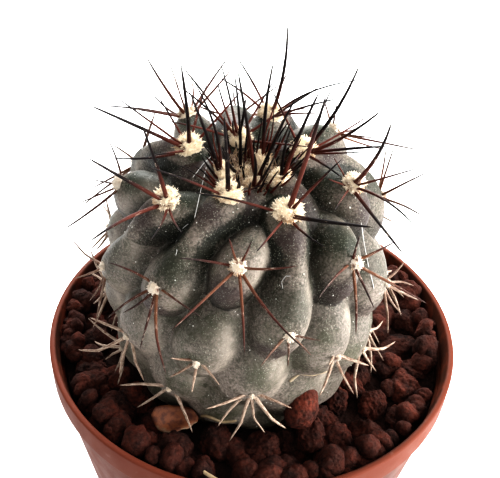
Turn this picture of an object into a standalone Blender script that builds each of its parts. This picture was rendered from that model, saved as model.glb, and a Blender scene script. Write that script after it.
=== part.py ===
"""A copiapoa cactus in its small round nursery pot.

Three solids rest in one another: the thin plastic pot, the lava gravel that
fills it, and the plant, whose stem, wool pads and spines grew as one piece.
Lengths are metres and +Z is up.  The origin is the centre of the pot's
underside, and the plant leans towards -Y.
"""

import math
import random

import bmesh
import bpy
import numpy as np
from mathutils import Matrix, Vector

MM = 0.001
DEG = math.pi / 180
TURN = 2 * math.pi

# Pot: a tapered cup with a short collar below its lip
POT_HEIGHT = 48.0 * MM
RIM_RADIUS = 27.5 * MM
LIP_WIDTH = 1.2 * MM
LIP_ROUND = 0.35 * MM
COLLAR_HEIGHT = 3.8 * MM
COLLAR_STEP = 0.6 * MM
BASE_RADIUS = 20.2 * MM
BASE_ROUND = 0.9 * MM
WALL = 0.9 * MM
FLOOR = 1.1 * MM
DRAIN_COUNT = 4
DRAIN_RADIUS = 2.0 * MM
DRAIN_CIRCLE = 11.0 * MM
DRAIN_SIDES = 12
POT_SIDES = 48
TERRACOTTA = (0.46, 0.19, 0.12)

# Room left between solids that touch in the real pot
GAP = 0.3 * MM

# Gravel: a filling with a layer of lava stones half sunk in its top; spacing is
# a share of two stones' radii, and roughness of the stone's own
FILL_LEVEL = 44.2 * MM
STONE_TOP = 46.9 * MM
STONE_DIP = 0.9 * MM
STONE_RADII = (1.8 * MM, 3.0 * MM)
COMMON_STONE_RADIUS = 2.15 * MM
STONE_SPACING = 0.77
STONE_ROUGHNESS = 0.16
STONE_TRIES = 3000
STONE_SEED = 11

# Stones with places of their own: one leans on the stem, another carries it, and
# the others, (x, y, z, radius in mm), lie in front
LEANING_STONE = Vector((6.1, -16.9, 49.4)) * MM
LEANING_STONE_RADIUS = 2.4 * MM
BED_STONE = Vector((7.6, -17.8, 46.3)) * MM
FRONT_STONES = (
    (-17.2, -15.2, 44.2, 2.7), (-12.0, -20.0, 44.9, 2.0), (-8.8, -20.7, 44.6, 2.3),
    (-3.8, -18.3, 44.7, 2.2), (2.0, -19.7, 44.8, 2.1), (3.8, -22.6, 44.8, 2.0),
    (9.9, -21.0, 44.7, 2.2), (15.0, -16.7, 44.2, 2.7), (15.8, -11.6, 45.0, 1.9),
    (11.1, -11.8, 45.3, 1.6),
)

LAVA_BROWN = (0.13, 0.06, 0.045)

# Plant: heights run along its own axis, from the gravel, and the outline
# (radius, height, in mm) touches the crests of the tubercles
STEM_FOOT = Vector((-1.5, -0.3, 45.5)) * MM
STEM_LEAN = 11 * DEG
STEM_OUTLINE = (
    (0.0, 29.2), (5.2, 31.7), (13.1, 29.8), (16.9, 21.8), (17.6, 14.2), (16.8, 5.0),
    (15.1, 0.0), (13.0, -4.0), (8.5, -10.0), (4.0, -16.0), (0.0, -18.0),
)
STEM_ROWS = 30
SLOPE_STEP = 0.5 * MM
GROUND_ROW_SHARE = 0.8
STEM_GREY = (0.19, 0.20, 0.17)

# Hole for the stem in the gravel, from its highest point down to its tip
HOLE_TOP = 13 * MM
HOLE_TIP_RADIUS = 2 * MM
HOLE_SIDES = 36
HOLE_POINT_STEP = 4

# Areoles: each is one golden angle on from the next younger one, which gives
# thirteen low ribs; the table holds (areole number, arc from the crown in mm)
GOLDEN_ANGLE = math.pi * (3 - math.sqrt(5))
FIRST_AREOLE_ANGLE = 227.5 * DEG
RIBS = 13
RIB_DRIFT = RIBS * GOLDEN_ANGLE - 5 * TURN
COLUMNS_PER_RIB = 4
AREOLE_ARCS = ((0, 0.0), (2, 1.2), (6, 4.2), (11, 8.7), (18, 16.2), (28, 26.1), (42, 34.9), (70, 50.0))
AREOLE_COUNT = 66

# Tubercles: radius of curvature across a rib, (areole number, mm), and along it
# above and below its highest point, which lies a little below the areole
RIB_CURVATURE = ((0, 1.5), (8, 1.8), (13, 2.1), (17, 2.4), (24, 3.2), (34, 5.0), (45, 8.0))
SLOPE_CURVATURE = 12.0 * MM
CHIN_CURVATURE = 7.0 * MM
CHIN_DROP = 0.6 * MM
FLANK_STEEPNESS = 0.14 / MM
TUBERCLE_REACH = 14 * MM
DEEPEST_GROOVE = 5.5 * MM
FAR_FALL = 3 * DEEPEST_GROOVE
CREASE_SOFTNESS = 0.12 * MM
SMOOTH_BELOW_GROUND = 6 * MM

# Necks: below these areoles a rib runs on unbroken to its next one
UNBROKEN_RIBS = range(7, 14)
NECK_CURVATURE = 1.5 * MM
NECK_DEPTH = 0.6 * MM
NECK_STEPS = 8
NECK_SOFTNESS = 0.5 * MM

# Wool pads, (areole number, radius in mm)
WOOL_RADII = (
    (0, 1.3), (6, 1.5), (8, 1.8), (12, 1.8), (14, 1.55),
    (16, 1.05), (22, 0.9), (30, 0.75), (40, 0.6), (60, 0.45),
)
WOOL_HEIGHT = 0.55
LOWEST_AREOLE = 1.5 * MM
WOOL_ROUND_UNTIL = 11

# Long dark spines that stand over the crown: (areole number, heading about the
# plant's axis and tilt away from it in degrees, length and root radius in mm)
LEADING_SPINES = (
    (1, 331, 17, 11.0, 0.38), (1, 163, 10, 14.0, 0.42), (2, 169, 5, 13.0, 0.36),
    (2, 244, 34, 8.0, 0.40), (3, 270, 25, 9.0, 0.42), (3, 299, 28, 9.0, 0.36),
    (4, 0, 2, 13.0, 0.42), (4, 342, 18, 10.0, 0.36), (5, 221, 18, 13.0, 0.44),
    (5, 214, 14, 13.0, 0.34), (6, 297, 9, 8.0, 0.38), (6, 334, 14, 13.0, 0.44),
    (7, 215, 30, 14.0, 0.26), (7, 218, 13, 11.0, 0.30), (7, 257, 29, 5.0, 0.30),
    (7, 294, 14, 7.0, 0.36), (8, 257, 10, 12.0, 0.46), (8, 216, 48, 12.0, 0.28),
    (9, 330, 20, 14.0, 0.44), (9, 323, 40, 13.0, 0.40), (9, 321, 57, 12.0, 0.38),
    (10, 213, 48, 14.0, 0.42), (10, 204, 41, 11.0, 0.28), (10, 267, 13, 13.0, 0.44),
    (11, 324, 9, 16.0, 0.50), (11, 340, 27, 10.0, 0.34), (11, 306, 54, 14.0, 0.44),
    (12, 288, 12, 14.0, 0.42), (12, 340, 52, 13.0, 0.24), (13, 252, 16, 13.0, 0.44),
    (13, 216, 39, 12.0, 0.42), (13, 237, 74, 11.0, 0.40), (14, 283, 23, 14.0, 0.46),
    (14, 287, 78, 13.0, 0.38), (14, 298, 71, 11.0, 0.30), (14, 309, 43, 11.0, 0.26),
    (15, 218, 26, 11.0, 0.36), (15, 248, 20, 10.0, 0.24),
)

# Spines that spread from an older areole: (clock angle from the crown side,
# rise from the skin in degrees, length and root radius in mm); those of an
# areole without its own row are varied a little
OWN_SPINES = {
    8: ((35, 16, 4.3, 0.24), (-115, 20, 6.0, 0.24)),
    11: ((-90, 20, 10.4, 0.28), (-148, 20, 8.5, 0.28), (155, 16, 6.5, 0.28)),
    13: ((103, 24, 7.8, 0.28), (77, 24, 8.0, 0.26), (10, 24, 1.6, 0.20)),
    14: ((0, 20, 3.7, 0.22), (-60, 20, 5.0, 0.22), (-92, 16, 8.5, 0.20)),
    16: ((-40, 45, 4.0, 0.24), (4, 45, 4.0, 0.24), (-106, 24, 6.2, 0.26), (64, 24, 6.2, 0.26),
         (-159, 26, 9.2, 0.30), (150, 26, 8.8, 0.30), (115, 26, 10.8, 0.32)),
    18: ((-102, 24, 5.8, 0.24), (-167, 34, 4.2, 0.22), (128, 24, 8.0, 0.30), (160, 24, 6.0, 0.24)),
    19: ((-20, 24, 4.2, 0.28), (65, 26, 4.8, 0.28), (129, 24, 9.8, 0.30), (-98, 16, 8.6, 0.24),
         (-155, 18, 7.4, 0.30), (180, 26, 5.0, 0.28)),
    21: ((-96, 24, 5.4, 0.26), (-166, 24, 6.2, 0.28), (-173, 26, 4.4, 0.28), (143, 24, 6.4, 0.28),
         (114, 24, 8.8, 0.30), (52, 18, 8.0, 0.22)),
    22: ((-54, 34, 8.4, 0.26), (-93, 24, 7.5, 0.26), (10, 30, 6.0, 0.26), (60, 24, 7.0, 0.26)),
    24: ((-132, 24, 4.4, 0.25), (170, 26, 3.2, 0.24), (112, 26, 3.0, 0.24), (68, 26, 3.2, 0.22)),
    26: ((-124, 26, 6.0, 0.24), (-177, 30, 5.0, 0.25), (140, 16, 4.8, 0.24), (104, 14, 6.2, 0.24)),
    27: ((60, 20, 3.8, 0.24), (104, 26, 5.6, 0.25), (126, 30, 6.6, 0.26), (160, 22, 5.0, 0.25),
         (-168, 14, 6.0, 0.25)),
    29: ((-93, 20, 3.0, 0.22), (-151, 26, 3.4, 0.24), (154, 26, 3.6, 0.24), (78, 22, 3.4, 0.22)),
    32: ((-152, 20, 4.8, 0.25), (142, 26, 6.2, 0.25), (98, 24, 4.4, 0.28), (-80, 20, 3.0, 0.22)),
    34: ((-112, 24, 5.2, 0.25), (-165, 34, 8.2, 0.28), (150, 24, 6.0, 0.25), (112, 14, 5.4, 0.25)),
    37: ((-114, 18, 5.4, 0.24), (-157, 24, 5.4, 0.26), (170, 28, 6.6, 0.26), (145, 24, 5.6, 0.22),
         (114, 22, 6.6, 0.28), (66, 18, 4.6, 0.24)),
    40: ((98, 20, 7.6, 0.28), (140, 24, 5.2, 0.26), (-166, 14, 6.4, 0.26)),
    42: ((-120, 20, 6.0, 0.25), (-168, 24, 6.0, 0.25), (110, 18, 6.2, 0.28)),
}
SHOULDER_SPINES = (
    (-70, 26, 8.5, 0.30), (66, 26, 8.5, 0.30), (-115, 22, 9.5, 0.32),
    (110, 22, 9.5, 0.32), (-154, 20, 8.0, 0.28), (152, 20, 8.0, 0.28),
)
FLANK_SPINES = (
    (10, 55, 3.6, 0.24), (-86, 20, 7.2, 0.26), (88, 20, 6.8, 0.26),
    (-134, 17, 11.0, 0.28), (180, 16, 10.0, 0.28), (140, 17, 11.0, 0.28),
)
WAIST_SPINES = (
    (-84, 20, 4.0, 0.23), (-132, 20, 5.2, 0.25), (180, 20, 4.6, 0.25),
    (136, 20, 4.8, 0.25), (92, 20, 4.2, 0.23),
)
FOOT_SPINES = (
    (-100, 22, 5.4, 0.23), (-140, 22, 5.8, 0.25), (180, 24, 5.4, 0.25),
    (140, 22, 5.8, 0.25), (100, 22, 5.2, 0.23),
)
CROWN_UNTIL = 6
SHOULDER_UNTIL = 15
FLANK_UNTIL = 23
WAIST_UNTIL = 33
SPINE_SIDES = 3
SPINE_SEED = 5
ROOT_DEPTH = 0.5 * MM
CLOCK_JITTER = 9
RISE_JITTER = 6
LENGTH_JITTER = 0.12
CLEARANCE_SAMPLES = 12


def clear_scene():
    for obj in list(bpy.data.objects):
        bpy.data.objects.remove(obj, do_unlink=True)


def new_collection(name):
    collection = bpy.data.collections.new(name)
    bpy.context.scene.collection.children.link(collection)
    return collection


def new_material(name, colour, roughness):
    material = bpy.data.materials.new(name)
    material.use_nodes = True
    shader = material.node_tree.nodes["Principled BSDF"]
    shader.inputs["Base Color"].default_value = (*colour, 1.0)
    shader.inputs["Roughness"].default_value = roughness
    shader.inputs["Metallic"].default_value = 0.0
    return material


def object_from_bmesh(name, bm, collection):
    mesh = bpy.data.meshes.new(name)
    bm.to_mesh(mesh)
    bm.free()
    obj = bpy.data.objects.new(name, mesh)
    collection.objects.link(obj)
    return obj


def turned_object(name, outline, collection, sides=POT_SIDES):
    """Turn an (x, z) outline about the Z axis; it runs down the outer side."""
    bm = bmesh.new()
    corners = [bm.verts.new((x, 0, z)) for x, z in outline]
    for start, end in zip(corners, corners[1:]):
        bm.edges.new((start, end))
    obj = object_from_bmesh(name, bm, collection)
    screw = obj.modifiers.new("turn", "SCREW")
    screw.steps = sides
    screw.render_steps = sides
    screw.use_merge_vertices = True
    screw.merge_threshold = 0.01 * MM
    return obj


def boolean(obj, operation, solver="EXACT", tool=None, tools=None):
    cut = obj.modifiers.new(operation.lower(), "BOOLEAN")
    cut.operation = operation
    cut.solver = solver
    if tools:
        cut.operand_type = "COLLECTION"
        cut.collection = tools
    else:
        cut.object = tool
    return cut


def apply_modifiers(obj):
    evaluated = obj.evaluated_get(bpy.context.evaluated_depsgraph_get())
    obj.data = bpy.data.meshes.new_from_object(evaluated)
    obj.modifiers.clear()


def fuse(obj, tools):
    """Join a collection's solids to obj, and remove the collection."""
    boolean(obj, "UNION", "MANIFOLD", tools=tools)
    apply_modifiers(obj)
    for tool in list(tools.objects):
        bpy.data.objects.remove(tool, do_unlink=True)
    bpy.data.collections.remove(tools)


def mark_as_cutter(obj):
    obj.hide_render = True
    obj.display_type = "WIRE"


def dress(obj, material, sharp_angle=40 * DEG):
    obj.data.materials.clear()
    obj.data.materials.append(material)
    obj.data.shade_smooth()
    obj.data.set_sharp_from_angle(angle=sharp_angle)


def wall_radius(height):
    """Outer radius of the tapered wall, below the collar."""
    top = RIM_RADIUS - COLLAR_STEP
    return BASE_RADIUS + (top - BASE_RADIUS) * height / (POT_HEIGHT - COLLAR_HEIGHT)


def pot_outline():
    collar_foot = POT_HEIGHT - COLLAR_HEIGHT
    inner = RIM_RADIUS - LIP_WIDTH
    return (
        (0, FLOOR),
        (wall_radius(FLOOR) - WALL - BASE_ROUND, FLOOR),
        (wall_radius(FLOOR) - WALL, FLOOR + BASE_ROUND),
        (wall_radius(collar_foot) - WALL, collar_foot),
        (inner, collar_foot + COLLAR_STEP),
        (inner, POT_HEIGHT - LIP_ROUND),
        (inner + LIP_ROUND, POT_HEIGHT),
        (RIM_RADIUS - LIP_ROUND, POT_HEIGHT),
        (RIM_RADIUS, POT_HEIGHT - LIP_ROUND),
        (RIM_RADIUS, collar_foot + COLLAR_STEP / 2),
        (RIM_RADIUS - COLLAR_STEP, collar_foot),
        (wall_radius(BASE_ROUND), BASE_ROUND),
        (BASE_RADIUS - BASE_ROUND / 3, BASE_ROUND / 4),
        (BASE_RADIUS - BASE_ROUND, 0),
        (0, 0),
    )


def make_pot(collection, cutters, material):
    pot = turned_object("pot", pot_outline(), collection)
    pot.data.materials.append(material)
    bm = bmesh.new()
    for index in range(DRAIN_COUNT):
        turn = Matrix.Rotation(TURN * (index + 0.5) / DRAIN_COUNT, 4, "Z")
        place = turn @ Matrix.Translation((DRAIN_CIRCLE, 0, FLOOR / 2))
        bmesh.ops.create_cone(bm, cap_ends=True, segments=DRAIN_SIDES, radius1=DRAIN_RADIUS,
                              radius2=DRAIN_RADIUS, depth=3 * FLOOR, matrix=place)
    drains = object_from_bmesh("drain_cutter", bm, cutters)
    mark_as_cutter(drains)
    boolean(pot, "DIFFERENCE", tool=drains)
    return pot


def curve_through(points, steps=12):
    """Smooth (radius, height) curve that meets the axis squarely at both ends."""
    knots = np.array(points)
    before = knots[1] * (-1, 1)
    after = knots[-2] * (-1, 1)
    knots = np.vstack((before, knots, after))
    share = np.linspace(0, 1, steps, endpoint=False)[:, None]
    spans = []
    for a, b, c, d in zip(knots, knots[1:], knots[2:], knots[3:]):
        bend = (2 * a - 5 * b + 4 * c - d) * share ** 2 + (3 * b - a - 3 * c + d) * share ** 3
        spans.append(b + ((c - a) * share + bend) / 2)
    return np.vstack((*spans, knots[-2]))


def smooth_least(first, second, softness):
    """The lesser of two depths, rounded where they are nearly alike."""
    gap = np.abs(first - second)
    return np.minimum(first, second) - softness * np.log1p(np.exp(-gap / softness))


class Stem:
    """The stem's smooth hull, its areoles and the relief between them."""

    def __init__(self):
        self.outline = curve_through(STEM_OUTLINE) * MM
        steps = np.linalg.norm(np.diff(self.outline, axis=0), axis=1)
        self.arcs = np.concatenate(([0], np.cumsum(steps)))
        self.to_world = Matrix.Translation(STEM_FOOT) @ Matrix.Rotation(STEM_LEAN, 4, "X")
        numbers = np.arange(AREOLE_COUNT)
        self.areoles, self.normals = self.hull(self.areole_angle(numbers), self.areole_arc(numbers))
        self.down, self.across = self.areole_directions(numbers)

    def areole_angle(self, number):
        return FIRST_AREOLE_ANGLE + number * GOLDEN_ANGLE

    def areole_arc(self, number):
        numbers, arcs = np.array(AREOLE_ARCS).T
        return np.interp(number, numbers, arcs * MM)

    def rib_angle(self, column, arc):
        """Angle of a rib column where it crosses an arc; ribs drift with age."""
        numbers, arcs = np.array(AREOLE_ARCS).T
        age = np.interp(arc, arcs * MM, numbers)
        return FIRST_AREOLE_ANGLE + column * TURN / (RIBS * COLUMNS_PER_RIB) + RIB_DRIFT * age / RIBS

    def outline_at(self, arc):
        radius = np.interp(arc, self.arcs, self.outline[:, 0])
        height = np.interp(arc, self.arcs, self.outline[:, 1])
        return radius, height

    def hull(self, angle, arc):
        """Points and outward normals of the smooth hull, as arrays."""
        radius, height = self.outline_at(arc)
        radius_after, height_after = self.outline_at(np.minimum(arc + SLOPE_STEP, self.arcs[-1]))
        radius_before, height_before = self.outline_at(np.maximum(arc - SLOPE_STEP, 0))
        outward = height_before - height_after
        upward = radius_after - radius_before
        cosine, sine = np.cos(angle), np.sin(angle)
        points = np.stack((radius * cosine, radius * sine, height), axis=-1)
        normals = np.stack((outward * cosine, outward * sine, upward), axis=-1)
        return points, normals / np.linalg.norm(normals, axis=-1, keepdims=True)

    def areole_directions(self, numbers):
        """Unit vectors at each areole: down its rib, and across it."""
        next_numbers = numbers + RIBS
        next_on_rib, _ = self.hull(self.areole_angle(next_numbers), self.areole_arc(next_numbers))
        down = next_on_rib - self.areoles
        down -= np.sum(down * self.normals, axis=1, keepdims=True) * self.normals
        down /= np.linalg.norm(down, axis=1, keepdims=True)
        return down, np.cross(down, self.normals)

    def relief(self, points):
        """How far the skin lies below the hull: ribs swollen at each areole."""
        numbers = np.arange(AREOLE_COUNT)
        ages, curvatures = np.array(RIB_CURVATURE).T
        across_curve = np.interp(numbers, ages, curvatures) * MM
        centres = self.areoles + CHIN_DROP * self.down
        offset = points[:, None, :] - centres[None, :, :]
        along = np.einsum("pnk,nk->pn", offset, self.down)
        across = np.einsum("pnk,nk->pn", offset, self.across)
        along_curve = np.where(along > 0, CHIN_CURVATURE, SLOPE_CURVATURE)
        fall = across ** 2 / (2 * across_curve) + along ** 2 / (2 * along_curve)
        fall += FLANK_STEEPNESS * fall ** 2
        far = np.linalg.norm(offset, axis=2) > TUBERCLE_REACH
        fall = np.where(far, FAR_FALL, np.minimum(fall, FAR_FALL))
        by_rib = np.stack([self.fall_of_rib(points, fall, rib) for rib in range(RIBS)], axis=1)
        lowest = np.sort(by_rib, axis=1)
        soft = smooth_least(lowest[:, 0], lowest[:, 1], CREASE_SOFTNESS)
        return DEEPEST_GROOVE * np.tanh(np.maximum(soft, 0) / DEEPEST_GROOVE)

    def fall_of_rib(self, points, fall, rib):
        """Join the tubercles of one rib, and the necks between its youngest ones."""
        joined = fall[:, rib]
        for number in range(rib + RIBS, AREOLE_COUNT, RIBS):
            joined = smooth_least(joined, fall[:, number], CREASE_SOFTNESS)
        for number in UNBROKEN_RIBS:
            if number % RIBS == rib:
                joined = smooth_least(joined, self.fall_of_neck(points, number), NECK_SOFTNESS)
        return joined

    def fall_of_neck(self, points, number):
        """Depth round the line on which a rib runs on to its next areole."""
        share = np.linspace(0, 1, NECK_STEPS + 1)
        angle = self.areole_angle(number) + RIB_DRIFT * share
        line, _ = self.hull(angle, self.areole_arc(number + RIBS * share))
        best = np.full(len(points), FAR_FALL)
        for index, (start, end) in enumerate(zip(line, line[1:])):
            way = end - start
            part = np.clip((points - start) @ way / (way @ way), 0, 1)
            distance = np.linalg.norm(points - start - part[:, None] * way, axis=1)
            along = (index + part) / NECK_STEPS
            fall = distance ** 2 / (2 * NECK_CURVATURE) + 4 * NECK_DEPTH * along * (1 - along)
            best = np.minimum(best, fall + FLANK_STEEPNESS * fall ** 2)
        return best

    def skin(self, angle, arc):
        points, normals = self.hull(angle, arc)
        buried = np.clip(-points[:, 2] / SMOOTH_BELOW_GROUND, 0, 1)
        depth = self.relief(points) * (1 - buried)
        return points - normals * depth[:, None]

    def areole_frame(self, number):
        """World matrix at an areole: X across, Y towards the crown, Z outward."""
        outward = Vector(self.normals[number])
        crownward = Vector(-self.down[number])
        across = crownward.cross(outward)
        turn = Matrix((across, crownward, outward)).transposed().to_4x4()
        skin = self.skin(self.areole_angle(np.array([number])), self.areole_arc(np.array([number])))
        return self.to_world @ Matrix.Translation(Vector(skin[0])) @ turn


def make_stem(stem, collection):
    """A sphere's grid laid on the hull, with its columns along the ribs."""
    columns = RIBS * COLUMNS_PER_RIB
    bm = bmesh.new()
    bmesh.ops.create_uvsphere(bm, u_segments=columns, v_segments=STEM_ROWS, radius=1)
    places = np.array([vert.co[:] for vert in bm.verts])
    row_share = np.arccos(np.clip(places[:, 2], -1, 1)) / math.pi
    column = np.arctan2(places[:, 1], places[:, 0]) / TURN * columns
    ground = stem.arcs[np.argmax(stem.outline[:, 1] < 0)]
    arc = np.interp(row_share, (0, GROUND_ROW_SHARE, 1), (0, ground, stem.arcs[-1]))
    for vert, place in zip(bm.verts, stem.skin(stem.rib_angle(column, arc), arc)):
        vert.co = stem.to_world @ Vector(place)
    return object_from_bmesh("cactus", bm, collection)


def add_wool_pad(number, frame, wool):
    ages, radii = np.array(WOOL_RADII).T
    radius = float(np.interp(number, ages, radii)) * MM
    bm = bmesh.new()
    subdivisions = 2 if number <= WOOL_ROUND_UNTIL else 1
    flat = Matrix.Diagonal((radius, radius, radius * WOOL_HEIGHT, 1))
    bmesh.ops.create_icosphere(bm, subdivisions=subdivisions, radius=1, matrix=frame @ flat)
    object_from_bmesh(f"wool_{number}", bm, wool)


def spreading_spines(number, draw):
    """An areole's own spines, or those of its age with small changes."""
    if number in OWN_SPINES:
        return OWN_SPINES[number]
    if number <= CROWN_UNTIL:
        spines = ()
    elif number <= SHOULDER_UNTIL:
        spines = SHOULDER_SPINES
    elif number <= FLANK_UNTIL:
        spines = FLANK_SPINES
    elif number <= WAIST_UNTIL:
        spines = WAIST_SPINES
    else:
        spines = FOOT_SPINES
    return [
        (clock + draw.uniform(-CLOCK_JITTER, CLOCK_JITTER), rise + draw.uniform(-RISE_JITTER, RISE_JITTER),
         length * draw.uniform(1 - LENGTH_JITTER, 1 + LENGTH_JITTER), radius)
        for clock, rise, length, radius in spines
    ]


def bent_clear(tip):
    """Lift a tip that would reach into the stones or the pot's lip."""
    beside_lip = math.hypot(tip.x, tip.y) > RIM_RADIUS - 2 * LIP_WIDTH
    lowest = POT_HEIGHT + 2 * GAP if beside_lip else STONE_TOP + GAP
    return Vector((tip.x, tip.y, max(tip.z, lowest)))


def meets_leaning_stone(start, end):
    """Whether the stone against the stem stands in the way of a line."""
    room = LEANING_STONE_RADIUS + 2 * GAP
    line = [start.lerp(end, share) for share in np.linspace(0, 1, CLEARANCE_SAMPLES)]
    return any((place - LEANING_STONE).length < room for place in line)


def add_spine(name, root, tip, radius, spines):
    axis = tip - root
    bm = bmesh.new()
    place = Matrix.Translation((root + tip) / 2) @ axis.to_track_quat("Z", "Y").to_matrix().to_4x4()
    bmesh.ops.create_cone(bm, cap_ends=True, segments=SPINE_SIDES, radius1=radius,
                          radius2=0, depth=axis.length, matrix=place)
    object_from_bmesh(name, bm, spines)


def add_leading_spines(stem, spines):
    axes = stem.to_world.to_3x3()
    for index, (number, heading, tilt, length, radius) in enumerate(LEADING_SPINES):
        frame = stem.areole_frame(number)
        tilted = Matrix.Rotation(heading * DEG, 3, "Z") @ Matrix.Rotation(tilt * DEG, 3, "Y")
        tip = frame.translation + axes @ tilted @ Vector((0, 0, length * MM))
        root = frame @ Vector((0, 0, -ROOT_DEPTH))
        add_spine(f"leading_spine_{index}", root, tip, radius * MM, spines)


def add_spreading_spines(number, frame, draw, spines):
    root = frame @ Vector((0, 0, -ROOT_DEPTH))
    for index, (clock, rise, length, radius) in enumerate(spreading_spines(number, draw)):
        turn = Matrix.Rotation(-clock * DEG, 3, "Z") @ Matrix.Rotation(rise * DEG, 3, "X")
        tip = bent_clear(frame @ (turn @ Vector((0, length * MM, 0))))
        if not meets_leaning_stone(root, tip):
            add_spine(f"spine_{number}_{index}", root, tip, radius * MM, spines)


def make_cactus(stem, collection, material):
    cactus = make_stem(stem, collection)
    growth = new_collection("growth")
    draw = random.Random(SPINE_SEED)
    for number in range(1, AREOLE_COUNT):
        frame = stem.areole_frame(number)
        place = frame.translation
        if place.z > STONE_TOP + LOWEST_AREOLE and not meets_leaning_stone(place, place):
            add_wool_pad(number, frame, growth)
            add_spreading_spines(number, frame, draw, growth)
    add_leading_spines(stem, growth)
    fuse(cactus, growth)
    dress(cactus, material)
    return cactus


def fill_outline():
    floor = FLOOR + GAP
    foot = wall_radius(floor) - WALL - GAP
    top = wall_radius(POT_HEIGHT - COLLAR_HEIGHT) - WALL - GAP
    return (
        (0, FILL_LEVEL),
        (top, FILL_LEVEL),
        (foot, floor + BASE_ROUND),
        (foot - BASE_ROUND, floor),
        (0, floor),
    )


def make_root_cutter(stem, cutters):
    """The stem's hull with room round it, open above the gravel."""
    points = stem.outline[::HOLE_POINT_STEP]
    side = [(r + GAP, z) for r, z in points if z < HOLE_TOP and r > HOLE_TIP_RADIUS]
    outline = [(0, side[0][1]), *side, (0, stem.outline[-1][1] - GAP)]
    cutter = turned_object("root_cutter", outline, cutters, HOLE_SIDES)
    cutter.matrix_world = stem.to_world
    mark_as_cutter(cutter)
    return cutter


def stem_distance(stem, place):
    """How far a low point lies outside the hull, measured square to the axis."""
    local = stem.to_world.inverted() @ place
    below_widest = stem.outline[np.argmax(stem.outline[:, 0]):]
    radius = np.interp(-local.z, -below_widest[:, 1], below_widest[:, 0])
    return math.hypot(local.x, local.y) - radius


def stone_places(stem, draw):
    """Stones thrown at random, each kept where it has room."""
    places = [(LEANING_STONE, LEANING_STONE_RADIUS), (BED_STONE, LEANING_STONE_RADIUS)]
    places += [(Vector((x, y, z)) * MM, radius * MM) for x, y, z, radius in FRONT_STONES]
    low, high = STONE_RADII
    for _ in range(STONE_TRIES):
        radius = draw.triangular(low, high, COMMON_STONE_RADIUS)
        reach = RIM_RADIUS - LIP_WIDTH - 2 * GAP - radius
        angle = draw.uniform(0, TURN)
        distance = reach * math.sqrt(draw.random())
        height = STONE_TOP - radius - draw.uniform(0, STONE_DIP)
        place = Vector((distance * math.cos(angle), distance * math.sin(angle), height))
        beside_stem = stem_distance(stem, place) > radius / 2
        has_room = all((place - other).length > STONE_SPACING * (radius + size) for other, size in places)
        if beside_stem and has_room:
            places.append((place, radius))
    return places


def add_stone(name, place, radius, draw, stones):
    bm = bmesh.new()
    turn = Matrix.Rotation(draw.uniform(0, TURN), 4, (draw.gauss(0, 1), draw.gauss(0, 1), 1))
    bmesh.ops.create_icosphere(bm, subdivisions=1, radius=radius, matrix=Matrix.Translation(place) @ turn)
    for vert in bm.verts:
        vert.co = place + (vert.co - place) * draw.uniform(1 - STONE_ROUGHNESS, 1)
    object_from_bmesh(name, bm, stones)


def make_gravel(stem, collection, cutters, material):
    gravel = turned_object("gravel", fill_outline(), collection)
    apply_modifiers(gravel)
    stones = new_collection("stones")
    draw = random.Random(STONE_SEED)
    for index, (place, radius) in enumerate(stone_places(stem, draw)):
        add_stone(f"stone_{index}", place, radius, draw, stones)
    fuse(gravel, stones)
    dress(gravel, material)
    boolean(gravel, "DIFFERENCE", "MANIFOLD", tool=make_root_cutter(stem, cutters))
    return gravel


def main():
    clear_scene()
    parts = new_collection("copiapoa_in_pot")
    cutters = new_collection("cutters")
    stem = Stem()
    make_pot(parts, cutters, new_material("terracotta_plastic", TERRACOTTA, 0.45))
    make_gravel(stem, parts, cutters, new_material("lava_gravel", LAVA_BROWN, 0.95))
    make_cactus(stem, parts, new_material("cactus_skin", STEM_GREY, 0.7))


main()
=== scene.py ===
"""The finished look of a small copiapoa cactus in a round nursery pot.

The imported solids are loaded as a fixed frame, and each operator then makes one
piece, or one group of like pieces, where those solids are: the pot, the lava
gravel, the ribbed stem, the wool, the spines and what has fallen on them.
Lengths are metres and +Z is up.
"""

import math
import random

import bmesh
import bpy
import numpy as np
from bpy.props import FloatProperty, FloatVectorProperty, IntProperty, PointerProperty
from bpy.types import Operator, Panel, PropertyGroup
from mathutils import Matrix, Vector, noise


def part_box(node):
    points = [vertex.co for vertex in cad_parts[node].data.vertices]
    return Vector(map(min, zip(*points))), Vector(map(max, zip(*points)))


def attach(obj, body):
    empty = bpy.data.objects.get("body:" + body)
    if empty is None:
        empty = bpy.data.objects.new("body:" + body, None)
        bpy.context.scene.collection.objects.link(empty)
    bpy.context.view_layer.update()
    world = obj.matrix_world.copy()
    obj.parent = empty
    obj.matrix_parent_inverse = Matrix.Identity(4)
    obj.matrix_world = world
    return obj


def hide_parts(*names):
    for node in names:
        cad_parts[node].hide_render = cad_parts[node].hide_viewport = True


bl_info = {
    "name": "Potted Copiapoa",
    "version": (1, 0, 0),
    "blender": (4, 5, 0),
    "location": "3D View > Sidebar > Copiapoa",
    "description": "Dresses a small cactus, its gravel and its nursery pot",
    "category": "Add Mesh",
}

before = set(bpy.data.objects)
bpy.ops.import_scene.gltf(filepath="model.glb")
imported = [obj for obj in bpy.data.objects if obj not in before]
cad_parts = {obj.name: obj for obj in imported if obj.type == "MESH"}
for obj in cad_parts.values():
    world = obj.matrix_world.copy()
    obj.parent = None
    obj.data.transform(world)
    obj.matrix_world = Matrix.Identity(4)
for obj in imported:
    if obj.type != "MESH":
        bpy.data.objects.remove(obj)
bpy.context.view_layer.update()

MM = 0.001
DEG = math.pi / 180
TURN = 2 * math.pi

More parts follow.
